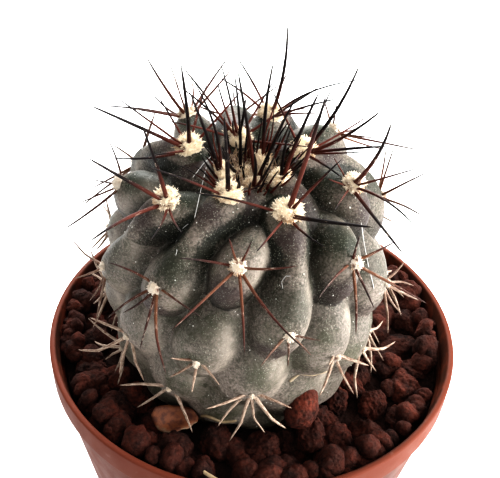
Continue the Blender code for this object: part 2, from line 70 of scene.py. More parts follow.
# Pot: the sizes of the solids, and a finer lip
POT_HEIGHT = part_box("pot")[1].z
RIM_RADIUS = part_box("pot")[1].x
LIP_WIDTH = 1.2 * MM
LIP_EASE = 0.3 * MM
LIP_EDGE = 0.75 * MM
LIP_SLOPE = 2.0 * MM
COLLAR_HEIGHT = 3.8 * MM
COLLAR_STEP = 0.6 * MM
BASE_RADIUS = 20.2 * MM
BASE_ROUND = 0.9 * MM
CORNER_EASE = 0.25 * MM
CORNER_STEPS = 6
SHARP_ANGLE = 50 * DEG
WALL = 0.9 * MM
WALL_SLOPE = (RIM_RADIUS - COLLAR_STEP - BASE_RADIUS) / (POT_HEIGHT - COLLAR_HEIGHT)
FLOOR = 1.1 * MM
DRAIN_COUNT = 4
DRAIN_RADIUS = 2.0 * MM
DRAIN_CIRCLE = 11.0 * MM
DRAIN_SIDES = 32
GAP = 0.3 * MM
# Waves of the thin rim, (share of its waviness, waves round it, phase)
RIM_WAVES = ((0.6, 2, 0.7), (0.4, 3, 2.1))

# Gravel, as in the solids
FILL_LEVEL = 44.2 * MM
STONE_TOP = 46.9 * MM
STONE_DIP = 0.9 * MM
STONE_RADII = (1.8 * MM, 3.0 * MM)
COMMON_STONE_RADIUS = 2.15 * MM
STONE_SPACING = 0.77
STONE_TRIES = 3000
STONE_SEED = 11
LEANING_STONE = Vector((6.1, -16.9, 49.4)) * MM
LEANING_STONE_RADIUS = 2.4 * MM
BED_STONE = Vector((7.6, -17.8, 46.3)) * MM
BED_STONE_RADIUS = 0.8 * LEANING_STONE_RADIUS
# Stones in front, (x, y, z, radius in mm)
FRONT_STONES = (
    (-17.2, -15.2, 44.2, 2.7), (-12.0, -20.0, 44.9, 2.0), (-8.8, -20.7, 44.6, 2.3),
    (-3.8, -18.3, 44.7, 2.2), (2.0, -19.7, 44.8, 2.1), (3.8, -22.6, 44.8, 2.0),
    (9.9, -21.0, 44.7, 2.2), (15.0, -16.7, 44.2, 2.7), (15.8, -11.6, 45.0, 1.9),
    (11.1, -11.8, 45.3, 1.6),
)

# Shapes of the lava stones: each a ball cut by broken faces, with lumps, (height as
# a share of the radius, pitch, side), and a grain, (height, pitch)
STONE_WIDTHS = (0.82, 1.08)
STONE_THICKNESSES = (0.78, 1.0)
BROKEN_FACES = 12
BROKEN_FACE_DISTANCES = (0.78, 1.02)
STONE_EDGE = 9
STONE_ROUND = 1.12
STONE_SWELL = 1.10
STONE_LUMPS = ((0.13, 2.1, 1), (0.08, 5.3, -1))
STONE_GRAIN = ((0.16 * MM, 1.1), (0.07 * MM, 2.3))
PORE_SPACING = 0.55 * MM
PORE_EDGE = 0.52
SMALL_STONE = 1.5 * MM
FRONT_EDGE = -4 * MM
LEANING_STRETCH = Vector((0.92, 0.94, 1.24))
LEANING_LIFT = Vector((0, 0, 0.7)) * MM
LEANING_ROUNDNESS = 0.55
LEANING_TONE = 1.35

# Crumbs, in mm: least, greatest and commonest radius, heights in the open and
# beside the wall, and how far those beside the wall lie from it
CRUMB_RADII = (0.6, 1.9, 1.1)
CRUMB_HEIGHTS = (43.9, 45.6)
WALL_CRUMB_HEIGHTS = (45.4, 47.3)
WALL_CRUMB_STRAY = (-0.3, 0.7)
WALL_CRUMB_SHARE = 0.6

# Filling below the stones: lumps of its top are (size, height)
BED_COLUMNS = 180
BED_SIDE_ROWS = 24
BED_TOP_ROWS = 56
BED_CENTRE = 0.4 * MM
BED_LUMPS = (1.6 * MM, 0.5 * MM)
BED_DIP = 0.5 * MM

# Plant, as in the solids: heights run along its own axis, from the gravel
STEM_FOOT = Vector((-1.5, -0.3, 45.5)) * MM
STEM_LEAN = 11 * DEG
STEM_OUTLINE = (
    (0.0, 29.2), (5.2, 31.7), (13.1, 29.8), (16.9, 21.8), (17.6, 14.2), (16.8, 5.0),
    (15.1, 0.0), (13.0, -4.0), (8.5, -10.0), (4.0, -16.0), (0.0, -18.0),
)
SLOPE_STEP = 0.5 * MM
GOLDEN_ANGLE = math.pi * (3 - math.sqrt(5))
FIRST_AREOLE_ANGLE = 227.5 * DEG
RIBS = 13
RIB_DRIFT = RIBS * GOLDEN_ANGLE - 5 * TURN
AREOLE_ARCS = ((0, 0.0), (2, 1.2), (6, 4.2), (11, 8.7), (18, 16.2), (28, 26.1), (42, 34.9), (70, 50.0))
AREOLE_COUNT = 66
RIB_CURVATURE = ((0, 1.5), (8, 1.8), (13, 2.1), (17, 2.4), (24, 3.2), (34, 5.0), (45, 8.0))
SLOPE_CURVATURE = 12.0 * MM
CHIN_CURVATURE = 7.0 * MM
CHIN_DROP = 0.6 * MM
FLANK_STEEPNESS = 0.14 / MM
TUBERCLE_REACH = 14 * MM
DEEPEST_GROOVE = 5.5 * MM
FAR_FALL = 3 * DEEPEST_GROOVE
UNBROKEN_RIBS = range(7, 14)
NECK_CURVATURE = 1.5 * MM
NECK_DEPTH = 0.6 * MM
NECK_STEPS = 8
NECK_SOFTNESS = 0.5 * MM
CREASE_SOFTNESS = 0.12 * MM
SMOOTH_BELOW_GROUND = 6 * MM
LOWEST_AREOLE = 1.5 * MM

# The scene's finer skin
OLD_SOFTNESS = 0.32 * MM
CREASE_WIDTH = 0.35 * MM
CROWN_HOLE = 0.12 * MM
ROOT_HOLE = 0.2 * MM
SKIN_PAST_GROUND = 1.5 * MM
COARSE_WRINKLE = 2.6 * MM
FINE_WRINKLE = 1.0 * MM
SKIN_BATCHES = 8
# Where the skin changes, as (start, span), and for two of them the least share: by areole
# number, or by depth, distance below the areole or height over the gravel
SOFTER_AGES = (22, 12)
YOUNG_AGES = (30, -12)
# Ages over which the purple tint and painted shade under each tubercle weaken
CHIN_AGES = (34, -12, 0.4)
# Ages from which the creases between tubercles get painted shade
CREASE_SHADE_AGES = (34, -12, 0.3)
# Ages, on whole and broken ribs, at which the deep flanks of the young ribs get painted shade
FLANK_SHADE_AGES = (20, -5)
FLANK_SHADE_AGES_OF_BROKEN_RIBS = (14, -4)
# Distances below the areole where the purple tint and painted shade start, and where they end on the whole
# ribs
CHIN_START = (0.8 * MM, 1.8 * MM)
CHIN_END = (6.5 * MM, -3.5 * MM)
# Depths over which that painted shade on the flanks comes in
FLANK_SHADE_DEPTH = (0.6 * MM, 0.8 * MM)
# Depths over which the painted shade in the creases comes in
CREASE_SHADE_DEPTH = (0.8 * MM, 0.8 * MM)
CORK_HEIGHT = (3.5 * MM, -3.0 * MM)
# Middle and width of the green face above an areole and of the pale edge round it, how
# far below the areole the edge reaches, and the tubercle whose face is half as green
FACE_ABOVE = 3.2 * MM
FACE_HEIGHT = 3.0 * MM
# The pale edge is pale bloom, with a painted highlight kept mostly to the flank that faces the key light
EDGE_DEPTH = 1.5 * MM
EDGE_WIDTH = 0.7 * MM
EDGE_BELOW = 2 * MM
PALE_TUBERCLE = 16
# Areole number that counts as an age of 1
AGE_SPAN = 50

# Wool pads, (areole number, radius in mm)
WOOL_RADII = (
    (0, 1.3), (6, 1.5), (8, 1.8), (12, 1.8), (14, 1.55),
    (16, 1.05), (22, 0.85), (28, 0.62), (40, 0.48), (60, 0.4),
)
FULLEST_PAD = 1.8 * MM
PAD_SHAPE = (1.0, 0.92, 0.80)

# Fibres of a pad: their rings from root to tip, the spans of their random draws, and
# the power of the pad's radius with which their number grows
FIBRE_PLACES = (0, 0.45, 0.9, 1.0)
FIBRE_TAPER = (1.0, 1.0, 0.9, 0.0)
FIBRE_SIDES = 3
FIBRE_RISES = (0.02, 1.0)
FIBRE_REACHES = (0.82, 1.0)
FIBRE_GIRTHS = (0.55, 1.25)
FIBRE_ROOT = 0.45
TIP_STRAY = 0.09
MIDDLE_STRAY = 0.06
FIBRE_GROWTH = 1.6

# Packed middle of a pad
CORE_SIZE = 0.80
CORE_LUMP_HEIGHT = 0.16
CORE_LUMP_PITCH = 3.4
CORE_PIT_DEPTH = 0.25

# Merged wool of the crown, lengths in mm
MAT_REACH = 3.4 * MM
MAT_DEPTH = 0.2 * MM
MAT_STRAY = 0.45
MAT_CURL = 0.35
MAT_LENGTHS = (0.5, 1.1)
MAT_GIRTHS = (0.6, 1.3)
MAT_TAPER = (1.0, 0.95, 0.75, 0.0)

# Room that the wool leaves round a spine
PIT_RADIUS = 0.34 * MM
PIT_EDGE = 1.6
OPEN_PIT = 0.6

# Long spines over the crown: (areole number, heading about the plant's axis and
# tilt away from it in degrees, length and root radius in mm)
LEADING_SPINES = (
    (1, 331, 17, 11.0, 0.38), (1, 163, 10, 14.0, 0.42), (2, 169, 5, 13.0, 0.36),
    (2, 244, 34, 8.0, 0.40), (3, 270, 25, 9.0, 0.42), (3, 299, 28, 9.0, 0.36),
    (4, 0, 2, 13.0, 0.42), (4, 342, 18, 10.0, 0.36), (5, 221, 18, 13.0, 0.44),
    (5, 214, 14, 13.0, 0.34), (6, 297, 9, 8.0, 0.38), (6, 334, 14, 13.0, 0.44),
    (7, 215, 30, 14.0, 0.26), (7, 218, 13, 11.0, 0.30), (7, 257, 29, 5.0, 0.30),
    (7, 294, 14, 7.0, 0.36), (8, 257, 10, 12.0, 0.46), (8, 216, 48, 12.0, 0.28),
    (9, 330, 20, 14.0, 0.44), (9, 323, 40, 13.0, 0.40), (9, 321, 57, 12.0, 0.38),
    (10, 213, 48, 14.0, 0.42), (10, 204, 41, 11.0, 0.28), (10, 267, 13, 13.0, 0.44),
    (11, 324, 9, 16.0, 0.50), (11, 340, 27, 10.0, 0.34), (11, 306, 54, 14.0, 0.44),
    (12, 288, 12, 14.0, 0.42), (12, 340, 52, 13.0, 0.24), (13, 252, 16, 13.0, 0.44),
    (13, 216, 39, 12.0, 0.42), (13, 237, 74, 11.0, 0.40), (14, 283, 23, 14.0, 0.46),
    (14, 287, 78, 13.0, 0.38), (14, 298, 71, 11.0, 0.30), (14, 309, 43, 11.0, 0.26),
    (15, 218, 26, 11.0, 0.36), (15, 248, 20, 10.0, 0.24),
)

# Spines that spread from an older areole: (clock angle from the crown side,
# rise from the skin in degrees, length and root radius in mm); those of an
# areole without its own row are varied a little
OWN_SPINES = {
    8: ((35, 16, 4.3, 0.24), (-115, 20, 6.0, 0.24)),
    11: ((-90, 20, 10.4, 0.28), (-148, 20, 8.5, 0.28), (155, 16, 6.5, 0.28)),
    13: ((103, 24, 7.8, 0.28), (77, 24, 8.0, 0.26), (10, 24, 1.6, 0.20)),
    14: ((0, 20, 3.7, 0.22), (-60, 20, 5.0, 0.22), (-92, 16, 8.5, 0.20)),
    16: ((-40, 45, 4.0, 0.24), (4, 45, 4.0, 0.24), (-106, 24, 6.2, 0.26), (64, 24, 6.2, 0.26),
         (-159, 26, 9.2, 0.30), (150, 26, 8.8, 0.30), (115, 26, 10.8, 0.32)),
    18: ((-102, 24, 5.8, 0.24), (-167, 34, 4.2, 0.22), (128, 24, 8.0, 0.30), (160, 24, 6.0, 0.24)),
    19: ((-20, 24, 4.2, 0.28), (65, 26, 4.8, 0.28), (129, 24, 9.8, 0.30), (-98, 16, 8.6, 0.24),
         (-155, 18, 7.4, 0.30), (180, 26, 5.0, 0.28)),
    21: ((-96, 24, 5.4, 0.26), (-166, 24, 6.2, 0.28), (-173, 26, 4.4, 0.28), (143, 24, 6.4, 0.28),
         (114, 24, 8.8, 0.30), (52, 18, 8.0, 0.22)),
    22: ((-54, 34, 8.4, 0.26), (-93, 24, 7.5, 0.26), (10, 30, 6.0, 0.26), (60, 24, 7.0, 0.26)),
    24: ((-132, 24, 4.4, 0.25), (170, 26, 3.2, 0.24), (112, 26, 3.0, 0.24), (68, 26, 3.2, 0.22)),
    26: ((-124, 26, 6.0, 0.24), (-177, 30, 5.0, 0.25), (140, 16, 4.8, 0.24), (104, 14, 6.2, 0.24)),
    27: ((60, 20, 3.8, 0.24), (104, 26, 5.6, 0.25), (126, 30, 6.6, 0.26), (160, 22, 5.0, 0.25),
         (-168, 14, 6.0, 0.25)),
    29: ((-93, 20, 3.0, 0.22), (-151, 26, 3.4, 0.24), (154, 26, 3.6, 0.24), (78, 22, 3.4, 0.22)),
    32: ((-152, 20, 4.8, 0.25), (142, 26, 6.2, 0.25), (98, 24, 4.4, 0.28), (-80, 20, 3.0, 0.22)),
    34: ((-112, 24, 5.2, 0.25), (-165, 34, 8.2, 0.28), (150, 24, 6.0, 0.25), (112, 14, 5.4, 0.25)),
    37: ((-114, 18, 5.4, 0.24), (-157, 24, 5.4, 0.26), (170, 28, 6.6, 0.26), (145, 24, 5.6, 0.22),
         (114, 22, 6.6, 0.28), (66, 18, 4.6, 0.24)),
    40: ((98, 20, 7.6, 0.28), (140, 24, 5.2, 0.26), (-166, 14, 6.4, 0.26)),
    42: ((-120, 20, 6.0, 0.25), (-168, 24, 6.0, 0.25), (110, 18, 6.2, 0.28)),
}
CROWN_UNTIL = 6
SHOULDER_UNTIL = 15
# Spines of the other areoles by age, (last areole number, its spines)
AGE_SPINES = (
    (CROWN_UNTIL, ()),
    (SHOULDER_UNTIL, (
        (-70, 26, 8.5, 0.30), (66, 26, 8.5, 0.30), (-115, 22, 9.5, 0.32),
        (110, 22, 9.5, 0.32), (-154, 20, 8.0, 0.28), (152, 20, 8.0, 0.28),
    )),
    (23, (
        (10, 55, 3.6, 0.24), (-86, 20, 7.2, 0.26), (88, 20, 6.8, 0.26),
        (-134, 17, 11.0, 0.28), (180, 16, 10.0, 0.28), (140, 17, 11.0, 0.28),
    )),
    (33, (
        (-84, 20, 4.0, 0.23), (-132, 20, 5.2, 0.25), (180, 20, 4.6, 0.25),
        (136, 20, 4.8, 0.25), (92, 20, 4.2, 0.23),
    )),
    (AREOLE_COUNT, (
        (-100, 22, 5.4, 0.23), (-140, 22, 5.8, 0.25), (180, 24, 5.4, 0.25),
        (140, 22, 5.8, 0.25), (100, 22, 5.2, 0.23),
    )),
)
SPINE_SEED = 5
ROOT_DEPTH = 0.5 * MM
CLOCK_JITTER = 9
RISE_JITTER = 6
LENGTH_JITTER = 0.12
CLEARANCE_SAMPLES = 12

# Short young spines of the crown; tilts in degrees, lengths and root radii in mm
CROWN_REACH = 4.4 * MM
BUD_TILTS = (6, 26)
BUD_LENGTHS = (1.8, 6.2)
BUD_RADII = (0.20, 0.32)

# Along a spine: how fast it tapers, how much and how far up its root flares, how
# uneven it is, and from which age, how much at most and where it kinks
TAPER = 0.40
ROOT_FLARE = 0.12
FLARE_REACH = 0.05
UNEVENNESS = 0.035
KINK_AGE = 0.3
GREATEST_KINK = 0.4
KINK_PLACES = (0.5, 0.85)
# Girth of a young spine, and what it gains with age, as (gain, first age, span)
YOUNG_GIRTH = 0.86
GIRTH_GAINS = ((0.14, 0.3, 0.1), (0.35, 0.45, 0.2))

# What lies on the plant and the gravel: white fibres, a scar of cork, a straw and a dry
# strip, with their points in mm
FALLEN_FIBRES = (
    ((-5.3, -4.6, 76.8), (-6.5, -6.7, 76.4), (-7.5, -8.5, 75.7)),
    ((-6.1, -7.9, 76.7), (-6.4, -9.5, 75.5), (-6.6, -12.2, 74.9), (-6.8, -13.5, 74.0)),
    ((10.75, -9.72, 72.0), (11.4, -9.7, 69.4), (12.1, -10.5, 67.1), (12.7, -11.2, 65.5),
     (13.1, -11.6, 64.3)),
)
SKIN_FIBRES = (
    ((-7.5, -13.3, 73.0), (-8.1, -13.5, 72.4), (-8.7, -13.4, 71.1), (-8.6, -15.7, 72.2),
     (-8.2, -16.5, 72.2), (-8.4, -17.1, 71.7)),
    ((2.4, -18.0, 69.7), (2.3, -17.7, 70.1), (2.7, -17.8, 70.7), (3.1, -17.8, 71.0)),
)
CORK_SCAR = ((4.2, -17.3, 55.4), (5.4, -17.2, 55.9), (6.7, -16.8, 56.3), (8.2, -16.0, 56.4))
STRAW_ENDS = ((-5.3, -24.1, 47.1), (-3.0, -26.3, 48.35))
DRY_STRIP = (
    (-5.9, -18.5, 47.3), (-5.2, -18.4, 48.1), (-4.4, -18.3, 48.5), (-3.2, -18.4, 47.9),
    (-1.3, -18.6, 47.5),
)
# Dry flakes on the gravel: (centre in mm, half length and half width in mm, heading
# and tilt in degrees, dip in mm)
FLAKES = (
    ((-8.7, -17.2, 46.8), 2.8, 1.6, 6, 30, 1.9),
)
FLAKE_CENTRE = 0.06
FLAKE_RINGS = 9
FLAKE_COLUMNS = 30
FLAKE_THICKNESS = 0.14 * MM
# Grains: their sizes in mm, and how far from the crown and the gravel they stay
GRAIN_SIZES = (0.04, 0.11)
GRAINLESS_CROWN = 4 * MM
GRAINLESS_FOOT = 3 * MM
GRAIN_LIFT = 0.03 * MM
# Thin tubes of fibres and sticks
STRAND_RINGS = 25
STRAND_SIDES = 6

# Seeds of the scene's own random draws
SEEDS = {
    "lava_stones_front": 21, "lava_stones_back": 22, "crumb_places": 23, "lava_crumbs": 24,
    "crown_wool": 31, "shoulder_wool": 32, "flank_wool": 33, "crown_spines": 41,
    "spreading_spines": 42, "bud_places": 43, "crown_buds": 44, "mealy_grains": 51,
}

# Camera, fitted to the pot's rim in the photo; its distance is that from its aim
CAMERA_ELEVATION = 37.09 * DEG
CAMERA_ROLL = 3.33 * DEG
CAMERA_DISTANCE = 89.08 * MM
CAMERA_AIM = Vector((-1.07, 0.0, 61.63)) * MM
CAMERA_LENS = 50.4
CAMERA_SENSOR = 36.0

# Floor and lights, the direction in which the surroundings are brightest, and the
# cosine of the angle from it at which they are dimmest
FLOOR_SIZE = 2.0
LIGHT_AIM = (0, 0, 60 * MM)
LIGHT_SIZE = 0.30
KEY_PLACE = (0.29, -0.05, 0.15)
BACK_PLACE = (-0.04, 0.34, 0.28)
WINDOW_SIDE = (0.82, 0.24, 0.52)
DIM_SIDE = -0.35


def colour_setting(name, description, default):
    return FloatVectorProperty(name=name, description=description, default=default,
                               subtype="COLOR", size=3, min=0.0, max=1.0)


def length_setting(name, description, default):
    return FloatProperty(name=name, description=description, default=default,
                         unit="LENGTH", min=0.0, precision=5)


def count_setting(name, description, default, least):
    return IntProperty(name=name, description=description, default=default, min=least)


class PotSettings(PropertyGroup):
    sides: count_setting("Sides", "Faces round the pot", 160, 24)
    waviness: length_setting("Waviness", "How far the thin rim strays from a circle", 0.12 * MM)
    plastic: colour_setting("Plastic", "Colour of the terracotta plastic", (0.143, 0.041, 0.024))
    # Dark patches inside the rim: a film of wet earth, which also stands for the shade on the inner wall
    soil_and_shade: colour_setting("Soil", "Film of wet soil inside the rim", (0.05, 0.022, 0.015))


class GravelSettings(PropertyGroup):
    pore_depth: length_setting("Pore depth", "How deep the gas holes of the lava are", 0.22 * MM)
    crumbs: count_setting("Crumbs", "Small stones between the large ones", 270, 0)
    fresh: colour_setting("Fresh lava", "Red-brown of a fresh face", (0.094, 0.028, 0.018))
    worn: colour_setting("Worn lava", "Dark brown of a worn face", (0.020, 0.0085, 0.007))
    dust: colour_setting("Dust", "Pale dust on the high spots", (0.080, 0.037, 0.027))


class SkinSettings(PropertyGroup):
    columns_per_rib: count_setting("Columns", "Faces across one rib", 28, 4)
    rows: count_setting("Rows", "Faces from the crown to the gravel", 235, 20)
    softness: length_setting("Groove softness", "Rounding at the bottom of a groove", CREASE_SOFTNESS)
    wrinkle: length_setting("Wrinkle", "Height of the skin's fine unevenness", 0.10 * MM)
    bloom: colour_setting("Bloom", "Waxy grey-brown bloom on the raised skin", (0.185, 0.153, 0.127))
    old_bloom: colour_setting("Old bloom", "Paler, pinker bloom low on the plant", (0.254, 0.213, 0.182))
    flesh: colour_setting("Flesh", "Dark green where the bloom is thin", (0.012, 0.017, 0.008))
    # Purple-brown tint below an areole, darkened to stand for the shade on the tubercle's underside
    chin_tint_and_shade: colour_setting("Chin", "Purple-brown skin below an areole", (0.032, 0.020, 0.019))
    # This colour is painted shade in the deep grooves of the young ribs and in the creases, and also the
    # dark of the fine mottle
    groove: colour_setting("Groove", "Nearly black green of the deep grooves", (0.005, 0.006, 0.003))
    cork: colour_setting("Cork", "Tan of the oldest skin at the gravel", (0.34, 0.27, 0.18))
    grain: colour_setting("Grain", "Pale grains of wax scattered over the skin", (0.40, 0.41, 0.33))


class WoolSettings(PropertyGroup):
    fibres: count_setting("Fibres", "Fibres in the fullest pad", 900, 10)
    fibre_radius: length_setting("Fibre radius", "Radius of one strand at its root", 0.05 * MM)
    young: colour_setting("Young wool", "Cream wool of the crown", (0.94, 0.81, 0.60))
    old: colour_setting("Old wool", "Paler wool of the flanks", (0.62, 0.55, 0.46))


class SpineSettings(PropertyGroup):
    sides: count_setting("Sides", "Faces round a spine", 8, 3)
    rings: count_setting("Rings", "Rings along a spine", 12, 4)
    girth: FloatProperty(name="Girth", description="Share of the solids' girth", default=0.66,
                         subtype="FACTOR", min=0.1, max=1.0)
    bow: FloatProperty(name="Bow", description="Sideways bow as a share of the length", default=0.035,
                       subtype="FACTOR", min=0.0, max=0.5)
    buds: count_setting("Buds", "Short young spines in the crown", 66, 1)
    root: colour_setting("Young root", "Red-brown root of a young spine", (0.090, 0.026, 0.018))
    tip: colour_setting("Young tip", "Black outer half of a young spine", (0.008, 0.005, 0.005))
    old: colour_setting("Old spine", "Bleached tan of an old spine", (0.27, 0.20, 0.15))


class DebrisSettings(PropertyGroup):
    grains: count_setting("Grains", "Pale grains lying on the skin", 260, 0)
    husk: colour_setting("Husk", "Dry flake on the gravel", (0.165, 0.055, 0.020))
    straw: colour_setting("Straw", "Pale stick and edge of the flake", (0.58, 0.44, 0.27))


class StageSettings(PropertyGroup):
    floor: colour_setting("Floor", "Plain pale floor", (0.90, 0.90, 0.90))
    key: FloatProperty(name="Key", description="Power of the large light on the right",
                       default=2.5, unit="POWER", min=0.0)
    back: FloatProperty(name="Back", description="Power of the wide light behind on the left",
                        default=3.0, unit="POWER", min=0.0)
    sky: FloatProperty(name="Sky", description="Strength of the surroundings on their bright side",
                       default=1.3, min=0.0)
    shade: FloatProperty(name="Shade", description="Strength of the surroundings on their dim side",
                         default=0.65, min=0.0)


class CopiapoaSettings(PropertyGroup):
    pot: PointerProperty(type=PotSettings)
    gravel: PointerProperty(type=GravelSettings)
    skin: PointerProperty(type=SkinSettings)
    wool: PointerProperty(type=WoolSettings)
    spines: PointerProperty(type=SpineSettings)
    debris: PointerProperty(type=DebrisSettings)
    stage: PointerProperty(type=StageSettings)


def new_object(name, data, material=None):
    """A mesh, light or camera as an object of the scene; a mesh also gets its material."""
    if material is not None:
        data.materials.append(material)
        data.shade_smooth()
    obj = bpy.data.objects.new(name, data)
    bpy.context.scene.collection.objects.link(obj)
    return obj


def mesh_object(name, points, faces, material):
    mesh = bpy.data.meshes.new(name)
    mesh.from_pydata(np.asarray(points).tolist(), [], faces)
    return new_object(name, mesh, material)


def object_from_bmesh(name, bm, material=None):
    mesh = bpy.data.meshes.new(name)
    bm.to_mesh(mesh)
    bm.free()
    return new_object(name, mesh, material)


def add_values(obj, **named_values):
    """Store a number for each vertex under each name, for the material to read."""
    size = len(obj.data.vertices)
    for name, values in named_values.items():
        layer = obj.data.attributes.new(name, "FLOAT", "POINT")
        layer.data.foreach_set("value", np.full(size, values, np.float32))


def set_in_place(obj, slot, *nodes):
    """Let a piece ride on the one body, and stand for the given solids."""
    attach(obj, "root")
    if nodes:
        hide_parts(*nodes)
    return obj


class Shader:
    """A material's node tree, built one call a node; a socket given as a value is linked."""

    def __init__(self, name):
        self.material = bpy.data.materials.new(name)
        self.material.use_nodes = True
        self.tree = self.material.node_tree
        self.surface = self.tree.nodes["Principled BSDF"]

    def node(self, kind, inputs, **settings):
        made = self.tree.nodes.new("ShaderNode" + kind)
        for name, value in settings.items():
            setattr(made, name, value)
        self.feed(made, inputs)
        return made

    def feed(self, node, inputs):
        for name, value in inputs.items():
            if isinstance(value, bpy.types.NodeSocket):
                self.tree.links.new(value, node.inputs[name])
            elif hasattr(value, "__len__") and len(value) == 3 and node.inputs[name].type == "RGBA":
                node.inputs[name].default_value = (*value, 1.0)
            else:
                node.inputs[name].default_value = value

    def value(self, name):
        return self.node("Attribute", {}, attribute_name=name).outputs["Fac"]

    def place(self):
        return self.node("TexCoord", {}).outputs["Object"]

    def noise(self, scale, detail=4.0, roughness=0.5, vector=None):
        """Scale is in features a metre."""
        inputs = {"Scale": scale, "Detail": detail, "Roughness": roughness}
        return self.node("TexNoise", {**inputs, "Vector": vector or self.place()}).outputs["Fac"]

    def cells(self, scale):
        """Distance to the nearest of scattered points."""
        return self.node("TexVoronoi", {"Scale": scale, "Vector": self.place()}).outputs["Distance"]

    def ramp(self, value, low, high, start=0.0, end=1.0):
        """Map low..high to start..end, clamped."""
        inputs = {"Value": value, "From Min": low, "From Max": high, "To Min": start, "To Max": end}
        return self.node("MapRange", inputs).outputs["Result"]

    def patches(self, scale, detail, roughness, *ends):
        """Noise through a ramp with the given ends."""
        return self.ramp(self.noise(scale, detail, roughness), *ends)

    def dots(self, scale, inner, outer):
        """Scattered spots, full as far as the inner distance and gone at the outer one."""
        return self.ramp(self.cells(scale), inner, outer, 1.0, 0.0)

    def math(self, operation, first, second):
        return self.node("Math", {0: first, 1: second}, operation=operation).outputs[0]

    def times(self, first, second):
        return self.math("MULTIPLY", first, second)

    def plus(self, first, second):
        return self.math("ADD", first, second)

    def minus(self, first, second):
        return self.math("SUBTRACT", first, second)

    def mix(self, share, first, second, blend="MIX"):
        inputs = {0: share, 6: first, 7: second}
        return self.node("Mix", inputs, data_type="RGBA", blend_type=blend).outputs[2]

    def layered(self, shade, *layers):
        """Lay colours over a shade in turn; a layer is (mask, strength, colour)."""
        for mask, strength, colour in layers:
            share = mask if strength == 1 else self.times(mask, strength)
            shade = self.mix(share, shade, colour)
        return shade

    def bump(self, height, distance, strength=1.0, normal=None):
        inputs = {"Height": height, "Distance": distance, "Strength": strength}
        if normal:
            inputs["Normal"] = normal
        return self.node("Bump", inputs).outputs["Normal"]

    def finish(self, **inputs):
        """Set or link the surface's sockets, named with _ for a space."""
        self.feed(self.surface, {name.replace("_", " "): value for name, value in inputs.items()})
        return self.material


def darker(colour, share):
    return [part * share for part in colour]


def from_axis(angle, reach, height):
    """The point at an angle about the axis, at a reach from it and a height."""
    return Vector((reach * math.cos(angle), reach * math.sin(angle), height))


def all_from_axis(angle, reach, height):
    """As from_axis, for arrays."""
    return np.stack((reach * np.cos(angle), reach * np.sin(angle), height), axis=-1)


def around_axis(outline, columns):
    """Angle, reach and height of each point of an outline turned about the axis."""
    angle = np.tile(np.arange(columns) * TURN / columns, len(outline))
    return angle, np.repeat(outline[:, 0], columns), np.repeat(outline[:, 1], columns)


def past(values, start, span, least=0):
    """How far values are past a start, as a share of a span; a span below 0 runs down."""
    return np.clip((values - start) / span, least, 1)


def curve_through(points, steps=12):
    """Smooth (radius, height) curve that meets the axis squarely at both ends."""
    knots = np.array(points)
    before = knots[1] * (-1, 1)
    after = knots[-2] * (-1, 1)
    knots = np.vstack((before, knots, after))
    share = np.linspace(0, 1, steps, endpoint=False)[:, None]
    spans = []
    for a, b, c, d in zip(knots, knots[1:], knots[2:], knots[3:]):
        bend = (2 * a - 5 * b + 4 * c - d) * share ** 2 + (3 * b - a - 3 * c + d) * share ** 3
        spans.append(b + ((c - a) * share + bend) / 2)
    return np.vstack((*spans, knots[-2]))


def smooth_least(first, second, softness):
    """The lesser of two depths, rounded where they are nearly alike."""
    gap = np.abs(first - second)
    return np.minimum(first, second) - softness * np.log1p(np.exp(-gap / softness))


